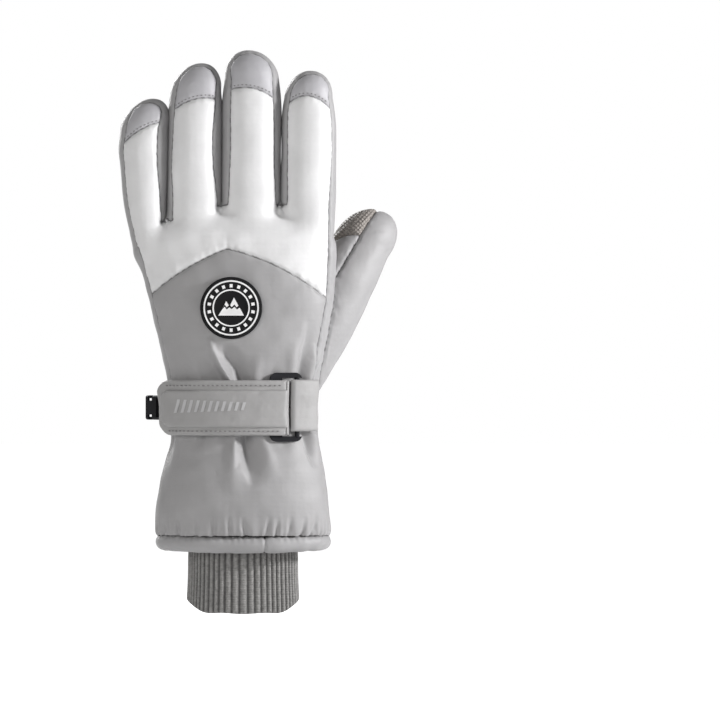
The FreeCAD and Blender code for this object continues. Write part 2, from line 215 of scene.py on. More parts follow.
class Tube:
    """A closed stall or sleeve: a rounded section at each height, and a round end above and below."""

    def __init__(self, rows, top, bottom, power, tip_x=None):
        self.z = rows[:, 0]
        self.sides = rows[:, [1, 3, 2, 4]]
        self.top = top
        self.bottom = bottom
        self.power = power
        self.tip_x = tip_x

    def at(self, z):
        """The section's left, right, front and back at a height."""
        return [smooth_table(z, self.z, side) for side in self.sides.T]

    def field(self, x, y, z, narrow=(0.0, 0.0)):
        """Below 0 inside and above 0 outside, in millimetres near the surface."""
        left, right, front, back = self.at(z)
        left = left + narrow[0]
        right = right - narrow[1]
        over = np.maximum(z - self.z[-1], 0)
        under = np.maximum(self.z[0] - z, 0)
        middle = (left + right) / 2
        if self.tip_x is not None:
            middle = middle + (self.tip_x - middle) * np.clip(over / self.top, 0, 1)
        half = (right - left) / 2
        deep = (back - front) / 2
        dx = np.abs(x - middle) + 1e-6
        dy = y - (front + back) / 2
        dz = over + under
        reach = np.where(over > 0, self.top, self.bottom)
        q = (dx / half) ** self.power + np.abs(dy / deep) ** self.power
        q = np.sqrt(q ** (2 / self.power) + (dz / reach) ** 2)
        radius = np.sqrt(dx * dx + dy * dy + dz * dz)
        steep = np.minimum(deep / half, 1)
        lean = dx / np.maximum(radius, 1e-6)
        return radius * (1 - 1 / q) * (1 - (1 - steep) * lean ** 2 * 0.5)

    def outline(self, x, z):
        """Signed distance to the outline seen from the back of the hand."""
        _, _, front, back = self.at(z)
        return self.field(x, (front + back) / 2, z)


def soft_union(a, b, k):
    """Joins two fields, with a fillet about k wide."""
    h = np.clip(0.5 + 0.5 * (b - a) / k, 0, 1)
    return b * (1 - h) + a * h - k * h * (1 - h)


def ramp(x, low, high):
    """A smooth step from 0 at low to 1 at high."""
    t = np.clip((x - low) / (high - low), 0, 1)
    return t * t * (3 - 2 * t)


def oval(turn, half, deep):
    """X and Y offsets of the body section's points from its middle, at some turns."""
    c = np.cos(turn)
    s = np.sin(turn)
    corner = 2 / BODY_POWER
    return half * np.sign(c) * np.abs(c) ** corner, deep * np.sign(s) * np.abs(s) ** corner


# ---- turning a field into a mesh
def surface_net(values, low, step):
    """Vertices and quads of the surface where the values on a grid change sign."""
    shape = np.array(values.shape) - 1
    total = np.zeros((*shape, 3))
    count = np.zeros(shape)

    def corner(offset):
        return values[offset[0]:offset[0] + shape[0], offset[1]:offset[1] + shape[1],
                      offset[2]:offset[2] + shape[2]]

    for axis in range(3):
        others = [(axis + 1) % 3, (axis + 2) % 3]
        for u in (0, 1):
            for v in (0, 1):
                start = [0, 0, 0]
                start[others[0]] = u
                start[others[1]] = v
                stop = list(start)
                stop[axis] = 1
                a = corner(start)
                b = corner(stop)
                hit = (a < 0) != (b < 0)
                share = a[hit] / (a[hit] - b[hit])
                point = np.tile(np.array(start, float), (len(share), 1))
                point[:, axis] = share
                total[hit] += point
                count += hit
    cells = count > 0
    index = np.full(shape, -1)
    index[cells] = np.arange(cells.sum())
    vertices = low + step * (np.argwhere(cells) + total[cells] / count[cells][:, None])
    quads = []
    for axis in range(3):
        b_axis, c_axis = (axis + 1) % 3, (axis + 2) % 3
        lower = np.moveaxis(values, (axis, b_axis, c_axis), (0, 1, 2))
        cell = np.moveaxis(index, (axis, b_axis, c_axis), (0, 1, 2))
        a = lower[:-1, 1:-1, 1:-1]
        b = lower[1:, 1:-1, 1:-1]
        for outward in (True, False):
            hit = (a < 0) & (b >= 0) if outward else (a >= 0) & (b < 0)
            i, j, k = np.nonzero(hit)
            ring = [cell[i, j, k], cell[i, j + 1, k], cell[i, j + 1, k + 1], cell[i, j, k + 1]]
            quads.append(np.stack(ring if outward else ring[::-1], 1))
    return vertices, np.concatenate(quads)


def project(points, field, rounds=3):
    """Moves the points onto the field's zero surface."""
    delta = 0.05
    for _ in range(rounds):
        x, y, z = points.T
        value = field(x, y, z)
        slope = np.stack([field(x + delta, y, z) - value, field(x, y + delta, z) - value,
                          field(x, y, z + delta) - value], 1) / delta
        length = np.maximum((slope ** 2).sum(1), 0.2)
        points = points - slope * (np.clip(value, -1.5, 1.5) / length)[:, None]
    return points


def edges_of(faces):
    sides = faces.shape[1]
    pairs = np.concatenate([faces[:, [i, (i + 1) % sides]] for i in range(sides)])
    return np.unique(np.sort(pairs, 1), axis=0)


def relax(points, edges, keep, share=0.5):
    """Moves each point towards the middle of its neighbours, except those to keep."""
    total = np.zeros_like(points)
    count = np.zeros(len(points))
    for a, b in ((0, 1), (1, 0)):
        np.add.at(total, edges[:, a], points[edges[:, b]])
        np.add.at(count, edges[:, a], 1)
    middle = total / np.maximum(count, 1)[:, None]
    moved = points + (middle - points) * share
    moved[keep] = points[keep]
    return moved


def net_mesh(field, low, high, step):
    """A smooth quad mesh of the field's surface, open at its lower rim."""
    counts = np.ceil((high - low) / step).astype(int) + 1
    axes = [low[i] + step * np.arange(counts[i]) for i in range(3)]
    x = axes[0][:, None, None]
    y = axes[1][None, :, None]
    z = axes[2][None, None, :]
    values = field(x, y, z) + np.zeros(counts)
    points, quads = surface_net(values, low, step)
    rim = points[:, 2] < low[2] + step * 1.01
    edges = edges_of(quads)
    for _ in range(6):
        points = project(relax(points, edges, rim), field, 2)
    return points, quads


# ---- the glove's shape
FINGERS = ("pinky", "ring", "middle", "index")
WEB_X = (-39.1, -10.9, 18.4)
WEB_Z = (193.4, 201.3, 201.3)
ROOT_X = (-62.0, -39.1, -10.9, 18.4, 50.0)          # the line where the fingers' panels begin
ROOT_Z = (191.0, 195.4, 203.2, 203.2, 203.2)
SKIN_NODES = ("_back", "_side_strip", "_front", "_tip_cap")
WEB_GAP = 1.5                   # how much narrower a stall is beside a crotch, until widened
NARROW = {"pinky": (0, WEB_GAP), "ring": (WEB_GAP, WEB_GAP), "middle": (WEB_GAP, WEB_GAP),
          "index": (WEB_GAP, 0)}
SIDE_FILL = (0.35, 0.32, 0.5)   # how far the strips on each side of a crotch lean together
TALL_FILL = (0.4, 0.0, 0.0)     # and more of it where the little finger leans away
WEB_RADII = (3.2, 7.0, 4.5)     # the small gusset that closes each crotch
WRIST_Z = 102.0
GAUNTLET_SEAM_Y = 3.0
HEM_TOP = 37.4


BODY_POWER = 2.3
BODY_NODES = ("back_upper_panel", "back_lower_panel", "palm_panel", "hand_side_strip_outer",
              "hand_side_strip_inner", "gauntlet_back", "gauntlet_palm")
BODY_HEIGHTS = (39.2, 46, 52, 60, 70, 78, 86, 94, 102, 110, 117, 126, 135, 145, 155, 165, 175, 183)
BODY = Tube(slices(node_triangles(BODY_NODES), BODY_HEIGHTS), 17.0, 10.0, BODY_POWER)
FINGER_POWER = 2.25
FINGER_SECTIONS = 7
ROOT_DEPTH = 12.0               # each stall starts this far inside the hand
TIP_SHIFT = {"pinky": -2.0}     # how far a tip leans from its highest point


def finger_tube(name):
    triangles = node_triangles([name + part for part in SKIN_NODES])
    low = triangles[..., 2].min()
    high = triangles[..., 2].max()
    rows = slices(triangles, np.linspace(low + ROOT_DEPTH, high - 13, FINGER_SECTIONS))
    first = rows[0].copy()
    first[0] = low - ROOT_DEPTH
    left, right, _, _ = BODY.at(first[0])
    first[1] = max(first[1], left - 0.6)
    first[2] += 1.5
    first[3] = min(first[3], right - 1)
    first[4] -= 1.5
    rows = np.vstack([first, rows])
    corners = triangles.reshape(-1, 3)
    tip = corners[corners[:, 2].argmax()]
    return Tube(rows, high - rows[-1, 0], 10.0, FINGER_POWER, tip[0] + TIP_SHIFT.get(name, 0))


TUBES = {name: finger_tube(name) for name in FINGERS}

# The thumb has its own axes: across it, from its back to its pad, and along it.
THUMB_BASE = np.array([22.5, 5.6, 118.3])
THUMB_AXIS = np.array([0.483, 0.262, 0.835])
THUMB_AXIS /= np.linalg.norm(THUMB_AXIS)
THUMB_SIDE = np.array([THUMB_AXIS[2], 0, -THUMB_AXIS[0]])
THUMB_SIDE /= np.linalg.norm(THUMB_SIDE)
THUMB_AHEAD = np.cross(THUMB_AXIS, THUMB_SIDE)
# Height along the axis, then the least and greatest place across and ahead.
THUMB_ROWS = np.array([(0, -15, -13, 17.3, 13),
                       (30, -17, -14.5, 17.3, 14.5),
                       (57, -15.6, -14, 15.9, 14),
                       (80, -13.4, -12.8, 13.6, 12.8)], float)
THUMB = Tube(THUMB_ROWS, 18.5, 10.0, 2.2, 2.6)
JOIN_FILLET = 2.5               # where the thumb's cloth runs into the hand's


def thumb_local(x, y, z):
    """Places across, ahead of and along the thumb."""
    x = x - THUMB_BASE[0]
    y = y - THUMB_BASE[1]
    z = z - THUMB_BASE[2]
    return [x * d[0] + y * d[1] + z * d[2] for d in (THUMB_SIDE, THUMB_AHEAD, THUMB_AXIS)]


def thumb_field(x, y, z):
    return THUMB.field(*thumb_local(x, y, z))


def root_line(x):
    """The height at which the fingers' panels begin."""
    return np.interp(x, ROOT_X, ROOT_Z)


def hand_field(x, y, z, narrow=True):
    """The hand with its four fingers, with wider fillets between them than at the glove's two sides."""
    soft = 1.2 + 3.8 * ramp(x, -56, -48) * (1 - ramp(x, 34, 42))
    value = BODY.field(x, y, z)
    for name, tube in TUBES.items():
        value = soft_union(value, tube.field(x, y, z, NARROW[name] if narrow else (0, 0)), soft)
    for web_x, web_z in zip(WEB_X, WEB_Z):
        away = np.sqrt(((x - web_x) / WEB_RADII[0]) ** 2 + (y / WEB_RADII[1]) ** 2
                       + ((z - web_z + 0.5) / WEB_RADII[2]) ** 2)
        value = soft_union(value, (away - 1) * WEB_RADII[0], 1.0)
    return value


def glove_field(x, y, z):
    return soft_union(hand_field(x, y, z), thumb_field(x, y, z), JOIN_FILLET)


def widen_fingers(points):
    """Gives the fingers back the width that kept them apart while the mesh was made."""
    x, _, z = points.T
    fields = np.stack([tube.outline(x, z) for tube in TUBES.values()])
    nearest = fields.argmin(0)
    on_thumb = thumb_edge(points) > -1
    points = points.copy()
    for i, (name, tube) in enumerate(TUBES.items()):
        mine = (nearest == i) & ~on_thumb
        left, right, _, _ = tube.at(z[mine])
        more_left, more_right = NARROW[name]
        base = np.interp(x[mine], WEB_X, WEB_Z)
        share = ramp(z[mine], base - 4, base + 2)
        across = (x[mine] - left - more_left) / (right - left - more_left - more_right)
        fill = np.zeros((2, mine.sum()))
        for side, web in enumerate((i - 1, i)):
            if 0 <= web < len(WEB_X):
                fill[side] = SIDE_FILL[web] + TALL_FILL[web] * ramp(z[mine], 215, 240)
        fill *= ramp(z[mine], base - 3, base + 4) * (1 - ramp(z[mine], tube.z[-1], tube.z[-1] + 9))
        wide = left - fill[0] + across * (right - left + fill[0] + fill[1])
        moved = x[mine] + (wide - x[mine]) * share
        low = z[mine] < base + 3
        # Near a crotch each finger stays on its own side of it.
        if i > 0:
            meets = low & (x[mine] >= WEB_X[i - 1])
            moved = np.where(meets, np.maximum(moved, WEB_X[i - 1] + 0.02), moved)
        if i < len(WEB_X):
            meets = low & (x[mine] <= WEB_X[i])
            moved = np.where(meets, np.minimum(moved, WEB_X[i] - 0.02), moved)
        points[mine, 0] = moved
    return points


# ---- seams
# How far each seam lies inside the outline, seen square on: heights, then left and right insets.
BACK_SEAMS = {
    "pinky": ((194, 207, 219, 231, 246, 252),
              (1.6, 1.6, 1.6, 1.7, 2.0, 1.2), (1.4, 2.6, 4.2, 4.8, 3.2, 1.4)),
    "ring": ((199, 207, 222, 238, 257, 266),
             (2.0, 2.1, 1.4, 1.2, 1.3, 1.2), (1.0, 1.4, 3.3, 3.8, 2.0, 1.3)),
    "middle": ((199, 207, 222, 238, 262, 272),
               (1.8, 2.6, 3.2, 3.4, 2.8, 1.3), (0.9, 1.4, 2.0, 2.1, 2.0, 1.3)),
    "index": ((199, 207, 222, 238, 255, 262),
              (1.4, 2.4, 2.0, 1.5, 1.1, 1.2), (3.0, 2.6, 2.0, 1.6, 1.7, 1.3)),
}
# The seam of each tip cap: middle height, slope towards the thumb, and drop per squared millimetre.
TIP_SEAMS = {"pinky": (241.6, 0.50, 0.022), "ring": (256.2, 0.22, 0.022), "middle": (261.6, -0.16, 0.022),
             "index": (257.6, -0.14, 0.040)}
PALM_INSET = 2.4
PALM_TIP_INSET = 4.0
HAND_OUTER_INSET = 1.6
HAND_INNER_INSET = 3.2
CHEVRON_X = -8.1
CHEVRON_Z = 181.2
GRIP_OUTLINE = ((43, 199.5), (22, 199), (2, 194), (-21.6, 189), (-38, 181.5), (-45, 172), (-42.5, 150),
                (-37.5, 128), (-33, 121), (-22, 118.5), (-10.7, 122), (2, 132), (9, 143), (7, 154.5),
                (-1.5, 163.5), (-4.5, 170), (3.1, 174.8), (14, 178), (24.8, 178.4), (33, 174), (43, 171))
TIP_PATCH_Z = {"index": 244.5, "middle": 249.5}


def owner(x):
    """The finger that each point belongs to, 0 to 3."""
    return np.digitize(x, WEB_X)


def panel_edge(points, outer, inner, finger_insets):
    """Above 0 on the front or back panels, 0 along their side seams."""
    x, _, z = points.T
    left, right, _, _ = BODY.at(z)
    high = z > TUBES["pinky"].z[0]
    left = np.where(high, np.minimum(left, TUBES["pinky"].at(z)[0]), left)
    right = np.where(high, np.maximum(right, TUBES["index"].at(z)[1]), right)
    value = np.minimum(x - left - outer, right - x - inner)
    mine = owner(x)
    for i, name in enumerate(FINGERS):
        tube = TUBES[name]
        here = (mine == i) & (z > root_line(x) - 0.5)
        zh = z[here]
        a, b, _, _ = tube.at(zh)
        low, high = finger_insets(name, zh)
        middle = (a + b) / 2
        inset = low + (high - low) * ramp(x[here], middle - 3, middle + 3)
        value[here] = -tube.outline(x[here], zh) - inset
    return value


def back_insets(name, z):
    heights, lefts, rights = BACK_SEAMS[name]
    return smooth_table(z, heights, lefts), smooth_table(z, heights, rights)


def palm_insets(name, z):
    end = TUBES[name].z[-1]
    inset = PALM_INSET + (PALM_TIP_INSET - PALM_INSET) * ramp(z, end - 4, end + 8)
    return inset, inset


def back_seam(points):
    return panel_edge(points, HAND_OUTER_INSET, HAND_INNER_INSET, back_insets)


def palm_seam(points):
    return panel_edge(points, PALM_INSET, PALM_INSET, palm_insets)


def across_finger(name, x, z):
    """Distance from the middle of a finger towards the thumb."""
    left, right, _, _ = TUBES[name].at(z)
    return x - (left + right) / 2


def tip_seam(points):
    """Above 0 on the tip caps."""
    x, _, z = points.T
    mine = owner(x)
    value = np.zeros(len(x))
    for i, name in enumerate(FINGERS):
        here = mine == i
        height, slope, drop = TIP_SEAMS[name]
        across = across_finger(name, x[here], z[here])
        value[here] = z[here] - (height + slope * across - drop * across ** 2)
    return value


def chevron_seam(points):
    """Above 0 on the white panel; the seam falls away from its peak to both sides."""
    across = points[:, 0] - CHEVRON_X
    outer_drop = 0.36 * -across + 0.0062 * across ** 2
    inner_drop = 0.215 * across + 0.00534 * across ** 2
    return points[:, 2] - (CHEVRON_Z - np.where(across < 0, outer_drop, inner_drop))


def smooth_loop(corners, per_side=8):
    """A smooth closed curve through the corners."""
    corners = np.array(corners, float)
    count = len(corners)
    curve = []
    for i in range(count):
        p0, p1, p2, p3 = (corners[(i + k) % count] for k in (-1, 0, 1, 2))
        for t in np.arange(per_side) / per_side:
            curve.append(0.5 * (2 * p1 + (p2 - p0) * t + (2 * p0 - 5 * p1 + 4 * p2 - p3) * t * t
                                + (3 * p1 - p0 - 3 * p2 + p3) * t ** 3))
    return np.array(curve)


def loop_distance(x, z, loop):
    """Signed distance to a closed curve in the X and Z plane, below 0 inside."""
    a = loop
    b = np.roll(loop, -1, axis=0)
    p = np.stack([x, z], 1)[:, None]
    ab = (b - a)[None]
    t = np.clip(((p - a) * ab).sum(2) / (ab ** 2).sum(2), 0, 1)
    distance = np.sqrt((((p - a) - ab * t[..., None]) ** 2).sum(2)).min(1)
    above = (a[:, 1] > z[:, None]) != (b[:, 1] > z[:, None])
    reach = a[:, 0] + (z[:, None] - a[:, 1]) / (b[:, 1] - a[:, 1] + 1e-9) * (b[:, 0] - a[:, 0])
    inside = ((above & (x[:, None] < reach)).sum(1) % 2) == 1
    return np.where(inside, -distance, distance)


GRIP_LOOP = smooth_loop(GRIP_OUTLINE)


def grip_seam(points):
    """Below 0 on the palm's grip patch."""
    x, _, z = points.T
    value = np.full(len(x), 50.0)
    near = (z > 110) & (z < 206)
    value[near] = loop_distance(x[near], z[near], GRIP_LOOP)
    return value


def tip_patch_seam(points):
    """Above 0 on the touch patches of the index and middle finger."""
    x, _, z = points.T
    mine = owner(x)
    value = np.full(len(x), -50.0)
    for name, height in TIP_PATCH_Z.items():
        here = mine == FINGERS.index(name)
        across = across_finger(name, x[here], z[here])
        value[here] = z[here] - height - 0.004 * across ** 2
    return value


def root_seam(points):
    return points[:, 2] - root_line(points[:, 0])


def thumb_edge(points):
    """Above 0 on the thumb, 0 along the crease where it joins the hand."""
    x, y, z = points.T
    return hand_field(x, y, z) - thumb_field(x, y, z)


THUMB_DEEP = 13.0
PATCH_LOW = 67.0
PATCH_LEAN = 12.0
THUMB_TILT = 0.6
THUMB_NORMAL = THUMB_AXIS + THUMB_TILT * THUMB_SIDE
THUMB_NORMAL /= np.linalg.norm(THUMB_NORMAL)
LEAST_SPLIT = 40.0
thumb_split = LEAST_SPLIT       # cut_glove moves it clear of the crease


def thumb_seam(points):
    """Above 0 on the thumb's outer and back panel, below 0 on the panel that faces the hand."""
    u, v, _ = thumb_local(*points.T)
    return u + 1.8 - 1.8 * np.clip(v / THUMB_DEEP, -1, 1)


def thumb_patch_seam(points):
    """Above 0 towards the tip, 0 along the lower edge of the thumb's grip patch."""
    _, v, w = thumb_local(*points.T)
    return w - (PATCH_LOW - PATCH_LEAN * np.clip(v / THUMB_DEEP, -1, 1))


def thumb_flex_line(points):
    """Above 0 on the part of the thumb that moves."""
    return (points - THUMB_BASE) @ THUMB_NORMAL - thumb_split


SNAP = 0.28                     # a corner this near to a seam, in edge lengths, moves onto it


def cut(bm, value_of, allowed):
    """Splits the faces along the zero line of a value, where allowed."""
    bm.verts.ensure_lookup_table()
    bm.edges.ensure_lookup_table()
    points = np.array([v.co for v in bm.verts])
    values = np.full(len(points), 1.0)
    inside = allowed(points)
    values[inside] = value_of(points[inside])
    pairs = np.array([(e.verts[0].index, e.verts[1].index) for e in bm.edges])
    a = values[pairs[:, 0]]
    b = values[pairs[:, 1]]
    crossing = np.nonzero(((a < 0) != (b < 0)) & inside[pairs[:, 0]] & inside[pairs[:, 1]])[0]
    snapped = {}
    for i in crossing:
        first, second = pairs[i]
        share = a[i] / (a[i] - b[i])
        near = first if share < SNAP else second if share > 1 - SNAP else None
        if near is not None and near not in snapped:
            snapped[near] = Vector(points[first] + (points[second] - points[first]) * share)
    starts = []
    for i in crossing:
        if pairs[i, 0] not in snapped and pairs[i, 1] not in snapped:
            starts.append((bm.edges[i], bm.verts[pairs[i, 0]], a[i] / (a[i] - b[i])))
    marked = set()
    for index, place in snapped.items():
        bm.verts[index].co = place
        marked.add(bm.verts[index])
    for edge, vert, share in starts:
        _, fresh = bmesh.utils.edge_split(edge, vert, share)
        marked.add(fresh)
    bmesh.ops.connect_verts(bm, verts=list(marked))
    bm.verts.index_update()


def cut_glove(bm):
    """Cuts every seam of the outer cloth into the mesh."""
    global thumb_split

    def off_thumb(p):
        return thumb_edge(p) < 0.05

    def on_thumb(p):
        return thumb_edge(p) > -0.05

    def on_back(p):
        return (p[:, 1] < 0) & off_thumb(p)

    def on_palm(p):
        return (p[:, 1] > 0) & off_thumb(p)

    def on_finger(p):
        return p[:, 2] > root_line(p[:, 0]) - 0.02

    def below_roots(p):
        return (p[:, 2] < root_line(p[:, 0]) + 0.02) & (p[:, 2] > WRIST_Z - 0.02)

    cut(bm, thumb_edge, lambda p: (p[:, 0] > 0) & (p[:, 2] < 200))
    points = np.array([v.co for v in bm.verts])
    crease = points[(np.abs(thumb_edge(points)) < 0.1) & (points[:, 2] > 140)]
    thumb_split = max(((crease - THUMB_BASE) @ THUMB_NORMAL).max() + 0.3, LEAST_SPLIT)
    cut(bm, thumb_flex_line, on_thumb)
    cut(bm, thumb_seam, on_thumb)
    cut(bm, thumb_patch_seam, lambda p: on_thumb(p) & (thumb_seam(p) < 0.02))
    cut(bm, root_seam, lambda p: (p[:, 2] > 185) & off_thumb(p))
    cut(bm, lambda p: p[:, 2] - WRIST_Z, lambda p: p[:, 2] < 110)
    cut(bm, back_seam, lambda p: on_finger(p) & on_back(p))
    cut(bm, back_seam, lambda p: below_roots(p) & on_back(p))
    cut(bm, palm_seam, lambda p: on_finger(p) & on_palm(p))
    cut(bm, palm_seam, lambda p: below_roots(p) & on_palm(p))
    cut(bm, tip_seam, lambda p: on_finger(p) & on_back(p) & (back_seam(p) > -0.02))
    cut(bm, chevron_seam, lambda p: below_roots(p) & on_back(p) & (back_seam(p) > -0.02))
    cut(bm, grip_seam, lambda p: below_roots(p) & on_palm(p) & (palm_seam(p) > -0.02))
    cut(bm, tip_patch_seam, lambda p: on_finger(p) & on_palm(p) & (palm_seam(p) > -0.02))
    cut(bm, lambda p: p[:, 1] - GAUNTLET_SEAM_Y, lambda p: p[:, 2] < WRIST_Z + 0.02)


def panel_labels(centres):
    """The panel's name at each point."""
    x, y, z = centres.T
    back = (back_seam(centres) > 0) & (y < 0)
    palm = (palm_seam(centres) > 0) & (y > 0)
    finger = z > root_line(x)
    mine = owner(x)
    names = np.where(x < 0, "hand_side_strip_outer", "hand_side_strip_inner").astype(object)
    names[back] = np.where(chevron_seam(centres[back]) > 0, "back_upper_panel", "back_lower_panel")
    names[palm] = np.where(grip_seam(centres[palm]) < 0, "palm_grip_patch", "palm_panel")
    for i, name in enumerate(FINGERS):
        here = finger & (mine == i)
        names[here] = name + "_side_strip"
        names[here & back] = np.where(tip_seam(centres[here & back]) > 0, name + "_tip_cap", name + "_back")
        names[here & palm] = name + "_front"
        if name in TIP_PATCH_Z:
            names[here & palm & (tip_patch_seam(centres) > 0)] = name + "_grip_patch"
    low = z < WRIST_Z
    names[low] = np.where(y[low] < GAUNTLET_SEAM_Y, "gauntlet_back", "gauntlet_palm")
    thumb = (thumb_edge(centres) > 0) & ~low
    upper = thumb_flex_line(centres) > 0
    outer = thumb_seam(centres) > 0
    patch = thumb_patch_seam(centres) > 0
    names[thumb & outer] = "thumb_gusset.outer"
    names[thumb & ~outer] = "thumb_gusset.inner"
    names[thumb & upper & outer] = "thumb_back"
    names[thumb & upper & ~outer] = "thumb_front"
    names[thumb & upper & ~outer & patch] = "thumb_grip_patch"
    return names


def fabric_of(name):
    """The cut of cloth that a panel belongs to: a finger's back and the hand's back are one cut."""
    if name == "back_upper_panel" or name in [f + "_back" for f in FINGERS]:
        return "upper"
    if name.endswith("_tip_cap"):
        return "cap"
    if "side_strip" in name:
        return "strip"
    if name == "palm_panel" or name in [f + "_front" for f in FINGERS]:
        return "palm"
    if name in ("thumb_back", "thumb_gusset.outer"):
        return "thumb outer"
    if name in ("thumb_front", "thumb_gusset.inner"):
        return "thumb inner"
    return name


FAR_FROM_SEAM = 9.0


# ---- mesh helpers
def bmesh_from(points, quads):
    bm = bmesh.new()
    verts = [bm.verts.new(p) for p in points]
    for quad in quads:
        bm.faces.new([verts[i] for i in quad])
    bm.verts.index_update()
    return bm


def face_centres(bm):
    return np.array([f.calc_center_median() for f in bm.faces])


def mesh_arrays(mesh):
    points = np.empty(len(mesh.vertices) * 3)
    mesh.vertices.foreach_get("co", points)
    faces = np.empty(len(mesh.loops), dtype=np.int32)
    mesh.loops.foreach_get("vertex_index", faces)
    return points.reshape(-1, 3), faces.reshape(-1, 4)


def subdivided(bm, labels):
    """The cut mesh after one round of subdivision: points, faces, label names and each face's label."""
    names = sorted(set(labels))
    mesh = bpy.data.meshes.new("work")
    bm.to_mesh(mesh)
    bm.free()
    thing = add_object("work", mesh)
    for _ in names:
        mesh.materials.append(None)
    mesh.polygons.foreach_set("material_index", [names.index(label) for label in labels])
    modifier = thing.modifiers.new("subdivide", "SUBSURF")
    modifier.levels = 1
    modifier.render_levels = 1
    depsgraph = bpy.context.evaluated_depsgraph_get()
    done = bpy.data.meshes.new_from_object(thing.evaluated_get(depsgraph))
    points, faces = mesh_arrays(done)
    slots = np.empty(len(done.polygons), dtype=np.int32)
    done.polygons.foreach_get("material_index", slots)
    bpy.data.objects.remove(thing)
    bpy.data.meshes.remove(mesh)
    bpy.data.meshes.remove(done)
    return points, faces, names, slots


def vertex_normals(points, faces):
    a, b, c, d = (points[faces[:, i]] for i in range(4))
    face = np.cross(c - a, d - b)
    total = np.zeros_like(points)
    for i in range(4):
        np.add.at(total, faces[:, i], face)
    return total / np.maximum(np.linalg.norm(total, axis=1), 1e-12)[:, None]


def border_points(faces, groups):
    """True for the vertices where faces of different groups meet."""
    count = faces.max() + 1
    low = np.full(count, 10 ** 6)
    high = np.full(count, -1)
    for i in range(faces.shape[1]):
        np.minimum.at(low, faces[:, i], groups)
        np.maximum.at(high, faces[:, i], groups)
    return low != high


def nearest_distance(points, targets):
    tree = kdtree.KDTree(len(targets))
    for i, p in enumerate(targets):
        tree.insert(p, i)
    tree.balance()
    return np.array([tree.find(p)[2] for p in points])


def thicken(points, faces, normals, thickness):
    """A closed sheet: the faces, a copy behind them, and a rim between."""
    count = len(points)
    sides = np.concatenate([faces[:, [i, (i + 1) % 4]] for i in range(4)])
    key = np.sort(sides, 1)
    _, first, seen = np.unique(key, axis=0, return_index=True, return_counts=True)
    open_sides = sides[first[seen == 1]]
    rim = np.stack([open_sides[:, 1], open_sides[:, 0], open_sides[:, 0] + count,
                    open_sides[:, 1] + count], 1)
    all_points = np.concatenate([points, points - normals * thickness])
    all_faces = np.concatenate([faces, faces[:, ::-1] + count, rim])
    all_normals = np.concatenate([normals, -normals])
    return all_points, all_faces, all_normals


def new_piece(name, points, faces, normals=None, seam=None):
    """A mesh object from points in millimetres."""
    mesh = bpy.data.meshes.new(name)
    faces = faces.tolist() if isinstance(faces, np.ndarray) else faces
    mesh.from_pydata((np.asarray(points) * MM).tolist(), [], faces)
    mesh.shade_smooth()
    if normals is not None:
        mesh.normals_split_custom_set_from_vertices(np.asarray(normals).tolist())
    seam = np.full(len(points), FAR_FROM_SEAM) if seam is None else seam
    # the distance to the nearest seam; the cloth's material paints shade near the seams from it, and the
    # knit's material paints shade in its grooves
    mesh.attributes.new("seam", "FLOAT", "POINT").data.foreach_set("value", seam.astype(np.float32))
    return add_object(name, mesh)


def new_sheet(name, points, faces, normals, thickness, seam=None):
    """One panel of a layer of cloth, as a closed sheet of its own."""
    used, local = np.unique(faces, return_inverse=True)
    sheet = thicken(points[used], local.reshape(-1, 4), normals[used], thickness)
    seams = None if seam is None else np.tile(seam[used], 2)
    PIECES[name] = new_piece("cloth_" + name, *sheet, seams)


# ---- cloth shapes
RIPPLE_WAVES = 7


def ripple(points, wavelength, seed):
    """A smooth random value between about -1 and 1 that varies over the wavelength."""
    source = np.random.default_rng(seed)
    total = np.zeros(len(points))
    for _ in range(RIPPLE_WAVES):
        direction = source.normal(size=3)
        direction /= np.linalg.norm(direction)
        pitch = wavelength * source.uniform(0.75, 1.5)
        total += np.sin(points @ direction * (CIRCLE / pitch) + source.uniform(0, CIRCLE))
    return total / math.sqrt(RIPPLE_WAVES)


FOLD_HEIGHT = 1.25
DEEP_FOLD = 1.4
STROKE_SIDES = (1.5, 0.7)       # a deep fold's steep and shallow side


def stroke(x, z, path):
    """The height of a soft ridge or hollow drawn along a path of (x, z, width, height) points."""
    best = np.full(len(x), 1e9)
    height = np.zeros(len(x))
    for (x0, z0, w0, h0), (x1, z1, w1, h1) in zip(path, path[1:]):
        dx = x1 - x0
        dz = z1 - z0
        t = np.clip(((x - x0) * dx + (z - z0) * dz) / (dx * dx + dz * dz), 0, 1)
        away = np.hypot(x - x0 - dx * t, z - z0 - dz * t) / (w0 + (w1 - w0) * t)
        right = (dx * (z - z0) - dz * (x - x0)) > 0
        steep, shallow = STROKE_SIDES if max(abs(h0), abs(h1)) > DEEP_FOLD else (1.0, 1.0)
        away = away * np.where(right == (h0 + h1 > 0), steep, shallow)
        value = FOLD_HEIGHT * (h0 + (h1 - h0) * t) * np.exp(-away ** 2)
        closer = away < best
        best = np.where(closer, away, best)
        height = np.where(closer, value, height)
    return height


